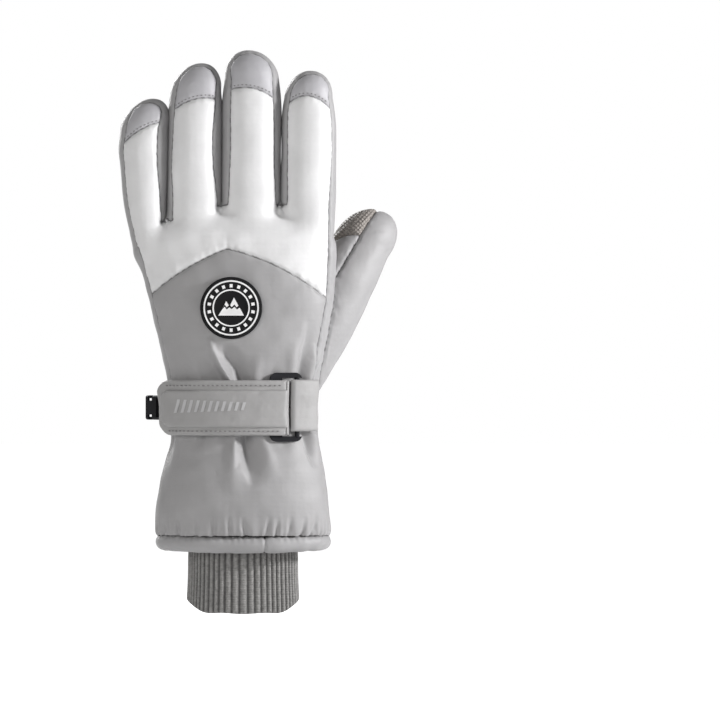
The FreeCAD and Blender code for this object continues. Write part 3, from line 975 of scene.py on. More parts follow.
# Folds on the back: each path starts where the fold fades out and ends at the strap or seam.
BACK_FOLDS = (
    ((-16.8, 137, 2.0, 0), (-15, 131.5, 1.9, 1.7), (-10.6, 123, 1.6, 2.6), (-6.2, 116, 1.3, 2.8),
     (-5, 110, 1.3, 2)),
    ((-10.5, 134, 2.6, 0), (-8, 127.5, 3.0, -1.9), (-2.8, 121, 3.0, -2.7), (-0.6, 114, 2.4, -2.6)),
    ((-19, 131, 3.0, 0), (-13.5, 120, 2.8, -0.9), (-9, 113, 2.4, -1.1)),
    ((7.5, 130, 2.6, 0), (7, 122, 2.6, 0.7), (6, 113, 2.4, 1.0)),
    ((32.8, 146, 2.8, 0), (32, 135, 3.0, -1.6), (29.5, 125, 2.5, -2.4), (28, 115, 2.0, -2.6)),
    ((26.5, 137, 3.0, 0), (24.5, 126, 2.6, 0.8), (23.5, 115, 2.2, 1.0)),
    ((36.8, 134, 1.8, 0), (35, 124, 1.6, 1.3), (32.5, 115, 1.5, 1.5)),
    ((39.5, 127, 1.0, 0), (37.6, 120, 0.9, -1.0), (36, 114, 0.9, -0.8)),
    ((15, 128, 2.8, 0), (15, 114, 2.4, -0.8)),
    ((-24, 128, 2.6, 0), (-21, 114, 2.2, 0.7)),
    ((-31, 127, 2.6, 0), (-28, 114, 2.2, -0.7)),
    ((0.8, 90, 1.9, -3.4), (1.4, 81, 3.5, -4.3), (2.8, 73, 3.8, -3.0), (5.5, 61, 3.4, 0)),
    ((-3.6, 90, 1.3, 1.3), (-4.2, 80, 2.0, 1.6), (-4.8, 70, 3.0, 1.2), (-5, 58, 4.4, 0)),
    ((8.6, 90, 2.4, 0.9), (12.4, 78, 2.8, 0.9), (15, 64, 3.8, 0)),
    ((29.8, 90, 1.4, -2.4), (32.3, 80, 1.7, -2.0), (35.6, 71, 2.0, 0)),
    ((34, 90, 1.5, 1.3), (36.6, 79, 1.9, 0.9), (39, 68, 2.2, 0)),
    ((24, 90, 2.4, 0.8), (26, 78, 3.0, 0)),
    ((-35, 88, 1.4, -1.2), (-36.6, 77, 1.8, -1.0), (-38.5, 66, 2.2, 0)),
    ((-30, 90, 2.0, 0.7), (-31.5, 78, 2.6, 0)),
    ((-20, 90, 1.6, -1.0), (-22.5, 79, 2.4, 0)),
    ((-12.5, 90, 2.0, 0.8), (-14, 79, 2.8, 0)),
    ((19, 90, 1.8, -0.8), (20.5, 79, 2.6, 0)),
    ((-8.1, 182, 0.8, -0.25), (-8.4, 190, 1.2, 0)),
    ((-12.5, 181, 0.8, -0.2), (-13.5, 187, 1.0, 0)),
)
# Folds on the palm: tucks that run slanting down from the elastic, and a few across the hand.
PALM_FOLDS = (
    ((-29, 92, 1.6, -1.4), (-33, 78, 2.2, -1.2), (-38, 60, 3.0, 0)),
    ((-22, 92, 1.8, 1.5), (-28, 76, 2.4, 1.4), (-35, 52, 3.2, 0)),
    ((-16, 92, 1.6, -1.7), (-23, 74, 2.2, -1.5), (-31, 50, 3.2, 0)),
    ((-9, 92, 1.7, 1.6), (-16, 76, 2.4, 1.4), (-24, 56, 3.2, 0)),
    ((-3, 92, 1.6, -1.5), (-9, 78, 2.2, -1.3), (-16, 62, 3.0, 0)),
    ((4, 92, 1.7, 1.1), (0, 80, 2.4, 0.8), (-4, 68, 3.0, 0)),
    ((14, 92, 1.8, -0.9), (13, 80, 2.4, 0)),
    ((24, 92, 1.8, 0.9), (25, 78, 2.6, 0)),
    ((30, 92, 1.6, -1.1), (32, 78, 2.2, 0)),
    ((-26, 104, 1.8, 1.2), (-20, 112, 2.4, 0)),
    ((-10, 104, 1.8, -1.0), (-6, 114, 2.4, 0)),
    ((5, 104, 1.8, 1.0), (8, 116, 2.6, 0)),
    ((22, 104, 1.8, -1.2), (25, 117, 2.4, 0)),
    ((28, 104, 1.6, 1.1), (32, 118, 2.2, 0)),
    ((-44, 178, 1.0, -0.9), (-38, 184, 1.2, -0.9), (-30, 190.5, 1.0, 0)),
    ((-21, 190, 0.9, 0), (-17, 194, 1.1, -0.8), (-12, 199.5, 0.9, -0.6)),
)
# The place of each small tuck above the hem, and how far it leans.
HEM_TUCKS = ((-33, 0.6), (-23.5, 0.8), (-5.3, -1.2), (1.7, -1.4), (10.8, 1.6), (22, 1.0), (29, 1.2),
             (34, 1.4), (-40, 0.5), (-14, -0.5), (16.5, 0.6))
STRAP_LOW = 88.0
STRAP_HIGH = 115.5
PRESSED_EDGE = 2.3              # how far inside its edges the strap has pressed the folds flat
BODY_RADIUS = 31.0              # turns an angle round the body into a rough distance
ELASTIC_Z = 98.0
HEM_PITCH = 3.3
GATHER_PITCH = 4.4


def folds(points):
    """How far the cloth stands out or falls in at each point, from its folds, tucks and gathers."""
    x, y, z = points.T
    left, right, front, back = BODY.at(z)
    on_body = (z < 205) & (thumb_edge(points) < 2)
    rear = ramp(-y, 1, 6) * on_body
    palm = ramp(y, 1, 6) * on_body
    lift = sum(rear * stroke(x, z, path) for path in BACK_FOLDS)
    beyond_strap = np.maximum(z - STRAP_HIGH, STRAP_LOW - z)
    lift = np.minimum(lift, 0) + np.maximum(lift, 0) * ramp(beyond_strap, -PRESSED_EDGE, -0.2)
    for path in PALM_FOLDS:
        lift += palm * stroke(x, z, path)
    for place, lean in HEM_TUCKS:
        path = ((place, 37, 0.9, -0.9), (place + lean, 42, 1.0, -0.8), (place + 1.6 * lean, 48, 1.3, 0))
        lift += 1.1 * rear * stroke(x, z, path)
    middle = (left + right) / 2
    around = BODY_RADIUS * np.arctan2(y / (back - front), (x - middle) / (right - left))
    # The rolled edge pulls the gauntlet in and puckers it.
    above_hem = np.maximum(z - HEM_TOP - 0.6, 0)
    pucker = np.sin(around * (CIRCLE / HEM_PITCH) + 1.6 * np.sin(around / 2.9))
    lift += (0.38 * pucker * np.exp(-above_hem / 4.5) - 0.9 * np.exp(-above_hem / 2.2)) * (z < 70)
    # The elastic gathers the palm side, with a stitched line along it and beside it.
    above = z - ELASTIC_Z
    gather = np.exp(-(above / 7.5) ** 4) + 0.45 * np.exp(-(above / 15) ** 2)
    wave = np.sin(around * (CIRCLE / GATHER_PITCH) + 1.2 * np.sin(around / 3.7) + 0.05 * above)
    lift += palm * gather * (wave - 0.6)
    for height, depth, width in ((0.0, 1.1, 1.0), (-7.0, 0.7, 1.3), (7.0, 0.7, 1.3)):
        lift -= palm * depth * np.exp(-((above - height) / width) ** 2)
    return lift + 0.22 * ripple(points, 26, 3) + 0.12 * ripple(points, 11, 4) * (z < 190)


GROOVE = 0.75
GROOVE_WIDTH = 0.9
PUCKER = 0.13                   # small puckers beside the seams, and how far from them
PUCKER_AT = 1.2
PUCKER_WIDTH = 1.6
PUFF = {"upper": 1.0, "cap": 0.7, "strip": 0.5, "palm": 0.9, "palm_grip_patch": 0.5}
PUFF_ELSEWHERE = 0.9
PUFF_REACH = 4.0
PATCH_HEIGHT = 0.55
SKIN_STEP = 1.5
SKIN_THICKNESS = 0.55
GLOVE_LOW = np.array([-68.0, -34.0, HEM_TOP])
GLOVE_HIGH = np.array([82.0, 48.0, 286.0])

PIECES = {}


def make_skin():
    """Cuts the outer cloth into its panels and shapes them; returns its points and faces."""
    points, quads = net_mesh(glove_field, GLOVE_LOW, GLOVE_HIGH, SKIN_STEP)
    bm = bmesh_from(widen_fingers(points), quads)
    cut_glove(bm)
    points, faces, names, slots = subdivided(bm, panel_labels(face_centres(bm)))
    normals = vertex_normals(points, faces)
    fabrics = sorted({fabric_of(n) for n in names})
    group = np.array([fabrics.index(fabric_of(n)) for n in names])[slots]
    seam = nearest_distance(points, points[border_points(faces, group)])
    puff = np.zeros(len(points))
    patch = np.zeros(len(points))
    for i, fabric in enumerate(fabrics):
        used = np.unique(faces[group == i])
        puff[used] = np.maximum(puff[used], PUFF.get(fabric, PUFF_ELSEWHERE))
        if fabric.endswith("grip_patch"):
            patch[used] = PATCH_HEIGHT
    lift = puff * (1 - np.exp(-seam / PUFF_REACH)) - GROOVE * np.exp(-(seam / GROOVE_WIDTH) ** 2)
    lift += patch * ramp(seam, 0.0, 0.7)
    pucker = ripple(points, 3.6, 5) * np.exp(-((seam - PUCKER_AT) / PUCKER_WIDTH) ** 2)
    lift += PUCKER * pucker + folds(points)
    points = points + normals * lift[:, None]
    normals = vertex_normals(points, faces)
    groups = {}
    for label, name in enumerate(names):
        groups.setdefault(name.split(".")[0], []).append(label)
    for name, mine in groups.items():
        new_sheet(name, points, faces[np.isin(slots, mine)], normals, SKIN_THICKNESS, seam)
    return points, faces


SKIN = make_skin()


def inner_labels(centres, lining):
    """The padding's or lining's piece at each point."""
    x, y, z = centres.T
    if lining:
        return np.where(z < WRIST_Z, "gauntlet_lining", "hand_lining").astype(object)
    names = np.where(y < 0, "hand_padding_back", "hand_padding_palm").astype(object)
    low = z < WRIST_Z
    names[low] = np.where(y[low] < 0, "gauntlet_padding_back", "gauntlet_padding_palm")
    finger = z > root_line(x)
    mine = owner(x)
    for i, name in enumerate(FINGERS):
        names[finger & (mine == i)] = name + "_liner"
    thumb = (thumb_edge(centres) > 0) & ~low
    names[thumb] = np.where(thumb_flex_line(centres[thumb]) > 0, "thumb_liner", "thumb_base_padding")
    return names


INNER_STEP = 2.4
INNER_LOW = np.array([-64.0, -30.0, HEM_TOP])
INNER_HIGH = np.array([80.0, 46.0, 284.0])
ELASTIC_ROOM = 1.1              # how far the padding stays clear of the wrist elastic


def make_inner(depth, thickness, bumps, lining):
    """A layer at some depth below the outer surface, cut into its pieces."""

    def field(x, y, z):
        value = soft_union(hand_field(x, y, z, False), thumb_field(x, y, z), JOIN_FILLET)
        band = np.exp(-((z - ELASTIC_Z) / 9) ** 4) * (y > -4)
        return value + depth + (0.0 if lining else ELASTIC_ROOM) * band

    bm = bmesh_from(*net_mesh(field, INNER_LOW, INNER_HIGH, INNER_STEP))
    cut(bm, root_seam, lambda p: (p[:, 2] > 180) & (thumb_edge(p) < 0.05))
    cut(bm, lambda p: p[:, 2] - WRIST_Z, lambda p: p[:, 2] < 110)
    cut(bm, thumb_flex_line, lambda p: thumb_edge(p) > -0.05)
    if not lining:
        cut(bm, thumb_edge, lambda p: (p[:, 0] > 0) & (p[:, 2] < 200))
        cut(bm, lambda p: p[:, 1], lambda p: (root_seam(p) < 0.02) & (thumb_edge(p) < 0.05))
    centres = face_centres(bm)
    if lining:
        in_finger = (root_seam(centres) > 0) & (thumb_edge(centres) < 0)
        in_thumb = (thumb_flex_line(centres) > 0) & (thumb_edge(centres) > 0)
        extra = in_finger | in_thumb
        bmesh.ops.delete(bm, geom=[f for f, gone in zip(bm.faces, extra) if gone], context="FACES")
        centres = centres[~extra]
    points, faces, names, slots = subdivided(bm, inner_labels(centres, lining))
    normals = vertex_normals(points, faces)
    lift = bumps * ripple(points, 5.0, 11) + np.minimum(folds(points), 0.0) * (0.5 if lining else 0.8)
    points = points + normals * lift[:, None]
    normals = vertex_normals(points, faces)
    for label, name in enumerate(names):
        new_sheet(name, points, faces[slots == label], normals, thickness)


make_inner(depth=2.6, thickness=1.5, bumps=0.12, lining=False)
make_inner(depth=5.2, thickness=0.5, bumps=0.06, lining=True)


# ---- bands around the wrist
class Wrist:
    """Places points around the wrist by the distance from its outer side, height and stand-off."""

    def __init__(self):
        count = 1081
        self.turns = np.linspace(-math.pi, CIRCLE, count)
        points = self.at_turn(self.turns, np.full(count, WRIST_Z), 0.0)
        steps = np.hypot(*np.diff(points[:, :2], axis=0).T)
        length = np.concatenate([[0], np.cumsum(steps)])
        self.lengths = length - np.interp(0.0, self.turns, length)

    def at_turn(self, turn, z, stand_off):
        """Turn 0 is the outer side, a quarter turn is the back and half a turn the thumb side."""
        left, right, front, back = BODY.at(z)
        x, y = oval(turn, (right - left) / 2 + stand_off, (back - front) / 2 + stand_off)
        return np.stack([(left + right) / 2 - x, -y, z], 1)

    def at(self, s, z, stand_off, free_end=0.0):
        """Points by distance; up to free_end the band leaves the wrist almost straight."""
        points = self.at_turn(np.interp(s, self.lengths, self.turns), z, stand_off)
        if free_end:
            step = 0.5
            base = self.at(np.full(len(s), free_end), z, stand_off)
            ahead = self.at(np.full(len(s), free_end + step), z, stand_off)
            straight = base + (ahead - base) / step * (s - free_end)[:, None]
            points = points + (straight - points) * np.where(s < free_end, 0.8, 0.0)[:, None]
        return points

    def s_of_x(self, x, stand_off=0.0):
        """Distance around the back of the wrist to a place with this X at a stand-off."""
        turns = np.linspace(0.01, math.pi - 0.01, 400)
        places = self.at_turn(turns, np.full(400, WRIST_Z), stand_off)
        return float(np.interp(np.interp(x, places[:, 0], turns), self.turns, self.lengths))


WRIST = Wrist()
EDGE_SHARE = 0.12               # how thick a band is at its very edge, of its full thickness


def sheet_faces(grid):
    """Faces of a closed sheet: a grid of points, as many again behind it, and a rim between."""
    count = grid.size
    quads = np.stack([grid[:-1, :-1], grid[1:, :-1], grid[1:, 1:], grid[:-1, 1:]], -1).reshape(-1, 4)
    ring = np.concatenate([grid[0, :-1], grid[:-1, -1], grid[-1, :0:-1], grid[:0:-1, 0]])
    after = np.roll(ring, -1)
    rim = np.stack([ring, after, after + count, ring + count], 1)
    return np.concatenate([quads, quads[:, ::-1] + count, rim])


def band(name, start, end, z0, z1, inner, outer, corner=0.0, edge=1.2, wave=0.0, step=1.0, seed=1,
         free_end=0.0):
    """A closed band that follows the wrist, with round corners at its free end when asked."""
    columns = int((end - start) / step)
    rows = int((z1 - z0) / step)
    s, t = np.meshgrid(start + (end - start) * np.linspace(0, 1, columns + 1), np.linspace(0, 1, rows + 1),
                       indexing="ij")
    away = np.clip(corner - (s - start), 0, corner)
    inset = 0.96 * (corner - np.sqrt(corner ** 2 - away ** 2))
    z = z0 + inset + (z1 - z0 - 2 * inset) * t
    side = np.minimum(np.minimum(s - start, end - s), np.minimum(z - z0 - inset, z1 - inset - z))
    near = np.clip(side / edge, 0, 1)
    full = (EDGE_SHARE + (1 - EDGE_SHARE) * np.sqrt(near * (2 - near))).ravel()
    s = s.ravel()
    z = z.ravel()
    flat = np.stack([s, z, np.zeros(len(s))], 1)
    lift = wave * ripple(flat, 9.0, seed) + 0.4 * wave * ripple(flat, 3.0, seed + 1)
    middle = (inner + outer) / 2
    front = WRIST.at(s, z, middle + (outer - middle) * full + lift, free_end)
    rear = WRIST.at(s, z, middle + (inner - middle) * full + 0.5 * lift, free_end)
    faces = sheet_faces(np.arange(len(s)).reshape(columns + 1, rows + 1))
    PIECES[name] = new_piece("cloth_" + name, np.concatenate([front, rear]), faces)


FOLD_X = 22.0                   # where the strap turns back round the loop's bar
FOLD_RADIUS = 2.35
FOLD_THICKNESS = 1.2
FOLD_CLEAR = 0.9
FREE_END = 3.6
STRAIGHT = 12.0
STRAP_END = WRIST.s_of_x(FOLD_X, 4.0)


def make_strap_fold():
    """The short turn of the strap round the loop's bar, half a circle in section."""
    steps = 14
    rows = 24
    turn = np.linspace(-math.pi / 2, math.pi / 2, steps + 1)
    heights = np.linspace(STRAP_LOW + 0.4, STRAP_HIGH - 0.4, rows + 1)
    turn, z = (v.ravel() for v in np.meshgrid(turn, heights, indexing="ij"))
    layers = []
    for radius in (FOLD_RADIUS, FOLD_RADIUS - FOLD_THICKNESS):
        s = STRAP_END - FOLD_CLEAR + 0.75 * radius * np.cos(turn)
        layers.append(WRIST.at(s, z, 2.85 + radius * np.sin(turn)))
    faces = sheet_faces(np.arange(len(z)).reshape(steps + 1, rows + 1).T)
    PIECES["strap_fold"] = new_piece("cloth_strap_fold", np.concatenate(layers), faces)


def make_strap():
    low = STRAP_LOW
    high = STRAP_HIGH
    place = WRIST.s_of_x
    band("strap_under", place(-34.5, 1.0), STRAP_END, low + 2, high - 2, 0.9, 1.5)
    band("strap_loop_patch", place(-33, 2.0), place(-8, 2.0), low + 4, high - 4, 1.6, 2.3)
    band("strap_hook_patch", place(-33, 3.0), place(-18, 3.0), low + 4.5, high - 4.5, 2.4, 3.7)
    band("strap_flap", FREE_END, STRAP_END - 0.6, low, high, 3.85, 5.2,
         corner=8.5, edge=1.6, wave=0.08, step=0.8, seed=21, free_end=STRAIGHT)
    band("strap_panel", FREE_END + 3.0, STRAP_END - 0.9, low + 4, high - 5, 5.0, 6.3,
         corner=6.8, edge=1.7, wave=0.10, step=0.8, seed=31, free_end=STRAIGHT)
    make_strap_fold()
    band("ring_tab", place(24.5, 5.0), place(38.0, 5.0), low + 2, high + 0.3, 2.6, 5.1,
         edge=1.4, wave=0.10, step=0.8, seed=41)
    palm_start, palm_end = np.interp((-math.pi + 0.2, -0.1), WRIST.turns, WRIST.lengths)
    band("wrist_elastic", palm_start, palm_end, ELASTIC_Z - 5, ELASTIC_Z + 6, -2.4, -1.7)


make_strap()


# ---- hem, knit cuff and clip loop
def closed_grid(rings):
    """Faces between rings of points of equal length, laid out one after another."""
    rows, count = rings.shape[:2]
    grid = np.arange(rows * count).reshape(rows, count)
    side = np.roll(grid, -1, axis=1)
    return np.stack([grid[:-1], side[:-1], side[1:], grid[1:]], -1).reshape(-1, 4)


HEM_Z = 34.5
HEM_R = 4.0
HEM_SIDES = 22
HEM_POINTS = 520
HEM_JOINS = ((10.6, 0.55, -1), (37.5, 0.7, 1))      # place, width, and which side of the glove


def make_hem():
    """The rolled edge, with small tucks along it and a join right of the middle."""
    turn = np.linspace(0, CIRCLE, HEM_POINTS, endpoint=False)
    left, right, front, back = (v[0] for v in BODY.at(np.array([39.0])))
    half = (right - left) / 2 - HEM_R + 0.2
    deep = (back - front) / 2 - HEM_R + 0.2
    x, y = oval(turn, half, deep)
    path = np.stack([(left + right) / 2 + x, y, np.full(HEM_POINTS, HEM_Z)], 1)
    forward = np.roll(path, -1, axis=0) - np.roll(path, 1, axis=0)
    forward /= np.linalg.norm(forward, axis=1)[:, None]
    outward = np.stack([forward[:, 1], -forward[:, 0], np.zeros(HEM_POINTS)], 1)
    length = np.concatenate([[0], np.cumsum(np.linalg.norm(np.diff(path, axis=0), axis=1))])
    sag = np.clip(np.abs(path[:, 0]) / half, 0, 1) ** 2 - 1
    join = sum(np.exp(-((path[:, 0] - place) / width) ** 2) * (path[:, 1] * side > 0)
               for place, width, side in HEM_JOINS)
    tucks = 0.22 * np.sin(length * (CIRCLE / 3.6) + 1.5 * np.sin(length / 4.1))
    rings = []
    for a in np.arange(HEM_SIDES) * CIRCLE / HEM_SIDES:
        radius = HEM_R + 0.15 + tucks * max(math.sin(a), 0) + 0.16 * ripple(path, 7.0, 51) - 0.75 * join
        ring = path + outward * (radius * math.cos(a))[:, None]
        ring[:, 2] += radius * math.sin(a) + sag
        rings.append(ring)
    faces = closed_grid(np.stack(rings + rings[:1])) % (HEM_SIDES * HEM_POINTS)
    PIECES["hem_binding"] = new_piece("cloth_hem_binding", np.concatenate(rings), faces)


RIB_PITCH = 2.75
RIB_POINTS = 12
KNIT_WALL = 2.2
KNIT_TOP = 67.5
KNIT_STEP = 0.9
RIM_BOW = 6.0                   # how far the rim rises at its two sides
RIM_STEPS = 6


def make_knit():
    """The ribbed cuff: ribs outside and inside, turned at the rim, slightly bowed at its sides."""
    rows = slices(node_triangles(["knit_cuff"]), (0.6, 8, 16, 24, 32, 42, 52, 60, 67))
    width = rows[0, 3] - rows[0, 1]
    depth = rows[0, 4] - rows[0, 2]
    ribs = int(round(1.03 * math.pi * (width + depth) / 2 / RIB_PITCH))
    turn = np.linspace(0, CIRCLE, ribs * RIB_POINTS, endpoint=False)
    phase = turn * ribs + 0.35 * np.sin(turn * 5) + 0.25 * np.sin(turn * 13 + 1)
    rib = (0.5 + 0.5 * np.cos(phase)) ** 0.55
    levels = np.arange(0.0, KNIT_TOP, KNIT_STEP)
    steps = [(z, 0.0, 0.95 * rib - 0.65) for z in levels[::-1]]     # height, depth and ribs
    inside = 0.25 * rib - 0.3
    for i in range(1, RIM_STEPS):
        a = math.pi * i / RIM_STEPS
        steps.append((-KNIT_STEP * math.sin(a), KNIT_WALL * (1 - math.cos(a)) / 2, inside))
    steps += [(z, KNIT_WALL, inside) for z in levels]
    c = np.cos(turn)
    s = np.sin(turn)
    rings = []
    for z, depth, lift in steps:
        level = np.array([max(z, 0.6)])
        left, right, front, back = (smooth_table(level, rows[:, 0], rows[:, k])[0] for k in (1, 3, 2, 4))
        x, y = oval(turn, (right - left) / 2 - depth + lift, (back - front) / 2 - depth + lift)
        bow = RIM_BOW * c ** 6 * math.exp(-max(z, 0) / 14)
        dent = 0.25 * np.sin(turn * 3 + z * 0.11) + 0.15 * np.sin(turn * 7 - z * 0.17)
        rings.append(np.stack([(left + right) / 2 + x, y + dent * s, z + bow + 0.25 * np.sin(turn * 9)], 1))
    rings = np.array(rings)
    first, last = (np.arange(len(turn)) + base for base in (0, (len(rings) - 1) * len(turn)))
    cap = np.stack([first, np.roll(first, -1), np.roll(last, -1), last], 1)
    faces = np.concatenate([closed_grid(rings)[:, ::-1], cap])
    # the rib heights go into the 'seam' attribute, from which the knit's material paints shade in the
    # grooves
    grooves = np.tile(0.75 * rib, len(rings))
    PIECES["knit_cuff"] = new_piece("cloth_knit_cuff", rings.reshape(-1, 3), faces, None, grooves)


CLIP_BAR = np.array([-39.9, 8.0])
CLIP_TURN = math.radians(-58)
WEBBING_RADII = (1.85, 1.35)
WEBBING_LEAD = 5.2              # how far its two ends reach from the bar
WEBBING_ROWS = 9


def make_webbing():
    """A loop of webbing round the clip's bar, with both ends sewn into the side seam."""
    low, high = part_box("clip_webbing")
    lead = np.array([math.cos(CLIP_TURN), math.sin(CLIP_TURN)])
    across = np.array([-lead[1], lead[0]])
    outer, inner = WEBBING_RADII
    outline = []
    for radius, order in ((outer, 1), (inner, -1)):
        gap = across * (0.55 * radius / outer)
        line = [CLIP_BAR + lead * WEBBING_LEAD + gap]
        for turn in np.radians(np.linspace(60, 300, 19)):
            line.append(CLIP_BAR + radius * (lead * math.cos(turn) + across * math.sin(turn)))
        line.append(CLIP_BAR + lead * WEBBING_LEAD - gap)
        outline += line[::order]
    count = len(outline)
    levels = np.linspace(low.z / MM, high.z / MM, WEBBING_ROWS)
    rings = np.array([[(x, y, z) for x, y in outline] for z in levels])
    faces = closed_grid(rings).tolist()
    top = (WEBBING_ROWS - 1) * count
    for i in range(count // 2 - 1):
        quad = (i, i + 1, count - 2 - i, count - 1 - i)
        faces.append(quad)
        faces.append([top + k for k in quad[::-1]])
    PIECES["clip_webbing"] = new_piece("cloth_clip_webbing", rings.reshape(-1, 3), faces)


make_hem()
make_knit()
make_webbing()


# ---- stitches and print
SKIN_TREE = BVHTree.FromPolygons(SKIN[0].tolist(), SKIN[1].tolist())
STITCH_SIDES = 6
# Along one stitch: the share of its length, its size, and how far it stands out.
STITCH_SHAPE = ((0, 0.25, -0.15), (0.18, 0.9, 0.10), (0.5, 1.0, 0.18), (0.82, 0.9, 0.10), (1, 0.25, -0.15))
STITCH_OFFSET = 1.3             # how far a row of stitches lies from its seam
LONGEST_STEP = 3.5
FAR_OUT = 60.0                  # rays towards the glove start here


def on_skin(start, direction):
    """The point of the cloth that a ray meets, and its outward normal, or None."""
    direction = Vector(direction)
    place, normal, _, _ = SKIN_TREE.ray_cast(Vector(start), direction)
    return None if place is None else (place, normal if normal.dot(direction) < 0 else -normal)


def thread(path, length, gap, width):
    """Points and faces of a row of stitches along a path of (place, normal) pairs."""
    points = []
    faces = []
    places = [p for p, _ in path]
    reach = np.concatenate([[0], np.cumsum([(b - a).length for a, b in zip(places, places[1:])])])

    def at(distance):
        i = min(max(int(np.searchsorted(reach, distance)) - 1, 0), len(places) - 2)
        t = (distance - reach[i]) / max(reach[i + 1] - reach[i], 1e-6)
        return places[i].lerp(places[i + 1], t), path[i][1]

    distance = gap
    while distance + length < reach[-1]:
        a, normal = at(distance)
        b, _ = at(distance + length)
        along = (b - a).normalized()
        side = along.cross(normal).normalized()
        up = side.cross(along)
        base = len(points)
        for share, size, rise in STITCH_SHAPE:
            middle = a.lerp(b, share) + up * rise
            for k in range(STITCH_SIDES):
                turn = CIRCLE * k / STITCH_SIDES
                points.append(middle + (side * math.cos(turn) + up * math.sin(turn) * 0.7) * width * size)
        rings = np.arange(base, len(points)).reshape(len(STITCH_SHAPE), STITCH_SIDES)
        after = np.roll(rings, -1, axis=1)
        faces += np.stack([rings[:-1], after[:-1], after[1:], rings[1:]], -1).reshape(-1, 4).tolist()
        faces.append(rings[0, ::-1].tolist())
        faces.append(rings[-1].tolist())
        distance += length + gap
    return points, faces


def sew(name, body, slot, paths, length=1.5, gap=0.8, width=0.28):
    """One mesh of stitches along several paths, riding on a body."""
    points = []
    faces = []
    for path in paths:
        more, new_faces = thread(path, length, gap, width)
        faces += [[i + len(points) for i in face] for face in new_faces]
        points += more
    piece = new_piece(name, points, faces)
    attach(piece, body)
    finish(piece, slot)


def runs(found):
    """Splits a list of places at its gaps, which are None, and where it jumps to another finger."""
    parts = [[]]
    for item in found:
        if item is None or (parts[-1] and (item[0] - parts[-1][-1][0]).length > LONGEST_STEP):
            parts.append([])
        if item is not None:
            parts[-1].append(item)
    return [p for p in parts if len(p) > 2]


def tip_stitches(name):
    """A row of stitches above the cap's seam, and one along the lower edge of a touch patch."""
    tube = TUBES[name]
    height, slope, drop = TIP_SEAMS[name]
    found = []
    left, right, _, _ = (v[0] for v in tube.at(np.array([height])))
    for x in np.linspace(left + 1.5, right - 2.5, 40):
        across = x - (left + right) / 2
        z = height + slope * across - drop * across ** 2 + STITCH_OFFSET
        inside = back_seam(np.array([[x, -5.0, z]]))[0] > 0.6
        found.append(on_skin((x, -FAR_OUT, z), (0, 1, 0)) if inside else None)
    paths = runs(found)
    if name in TIP_PATCH_Z:
        z = TIP_PATCH_Z[name]
        left, right, _, _ = (v[0] for v in tube.at(np.array([z])))
        row = np.linspace(left + 3.5, right - 3.5, 30)
        paths += runs([on_skin((x, FAR_OUT, z + 1.2), (0, -1, 0)) for x in row])
    sew("stitches_" + name, name, "thread_grey", paths, length=1.2, gap=0.9, width=0.26)


def palm_stitches():
    """Stitches inside the grip patch's edge, and along the wrist elastic."""
    loop = GRIP_LOOP
    forward = np.roll(loop, -1, axis=0) - np.roll(loop, 1, axis=0)
    forward /= np.linalg.norm(forward, axis=1)[:, None]
    inward = np.stack([-forward[:, 1], forward[:, 0]], 1)
    probe = loop + inward
    if loop_distance(probe[:, 0], probe[:, 1], loop).mean() > 0:
        inward = -inward
    found = []
    for x, z in loop + inward * STITCH_OFFSET:
        on_panel = palm_seam(np.array([[x, 14.0, z]]))[0] > 1.2
        hit = on_skin((x, FAR_OUT, z), (0, -1, 0)) if on_panel else None
        if hit and thumb_edge(np.array([hit[0]]))[0] > -0.5:
            hit = None
        found.append(hit)
    sew("stitches_palm", "hand", "grip", runs(found))
    found = []
    for turn in np.linspace(0.12, math.pi - 0.12, 120):
        out = Vector((math.cos(turn), math.sin(turn), 0))
        found.append(on_skin(Vector((0, 0, ELASTIC_Z)) + out * 70, -out))
    sew("stitches_elastic", "hand", "thread_grey", runs(found), length=1.8)


def thumb_stitches():
    """Stitches above the lower edge of the thumb's grip patch."""
    side, ahead, axis = (Vector(d) for d in (THUMB_SIDE, THUMB_AHEAD, THUMB_AXIS))
    found = []
    for turn in np.linspace(math.radians(-98), math.radians(88), 70):
        v = math.sin(turn)
        out = side * -math.cos(turn) + ahead * v
        centre = Vector(THUMB_BASE) + axis * (PATCH_LOW - PATCH_LEAN * v + STITCH_OFFSET)
        hit = on_skin(centre + out * 30, -out)
        found.append(hit if hit and (hit[0] - centre).length < 17.5 and v > 0.12 else None)
    sew("stitches_thumb", "thumb", "grip", runs(found), length=1.3)


def strap_stitches():
    """A row of stitches along the strap's upper and lower edge."""
    paths = []
    s = np.linspace(FREE_END + 7, STRAP_END - 2.5, 80)
    for z in (STRAP_LOW + 2.2, STRAP_HIGH - 2.6):
        places, outside = (WRIST.at(s, np.full(80, z), stand_off, STRAIGHT) for stand_off in (5.42, 6.42))
        paths.append([(Vector(p), (Vector(q) - Vector(p)).normalized()) for p, q in zip(places, outside)])
    sew("stitches_strap", "strap_end", "thread_grey", paths, gap=0.9, width=0.3)


BARS = 11
BAR_PITCH = 3.3
BAR_WIDTH = 1.5
BAR_MIDDLE = 102.6
BAR_LEAN = 0.32
BAR_ROWS = 7


def strap_print():
    """A plain row of slanted bars on the strap, in pale ink, each lower than the one before."""
    points = []
    faces = []
    for i in range(BARS):
        base = len(points)
        for up in np.linspace(-1, 1, BAR_ROWS) * (3.4 - 0.14 * i):
            for x in (0, BAR_WIDTH):
                s = WRIST.s_of_x(-33.5 + BAR_PITCH * i + BAR_LEAN * up + x, 6.5)
                points.append(WRIST.at(np.array([s]), np.array([BAR_MIDDLE + up]), 6.55, STRAIGHT)[0])
        faces += [(n, n + 1, n + 3, n + 2) for n in range(base, base + 2 * (BAR_ROWS - 1), 2)]
    piece = new_piece("print_bars", points, faces)
    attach(piece, "strap_end")
    finish(piece, "strap_print")


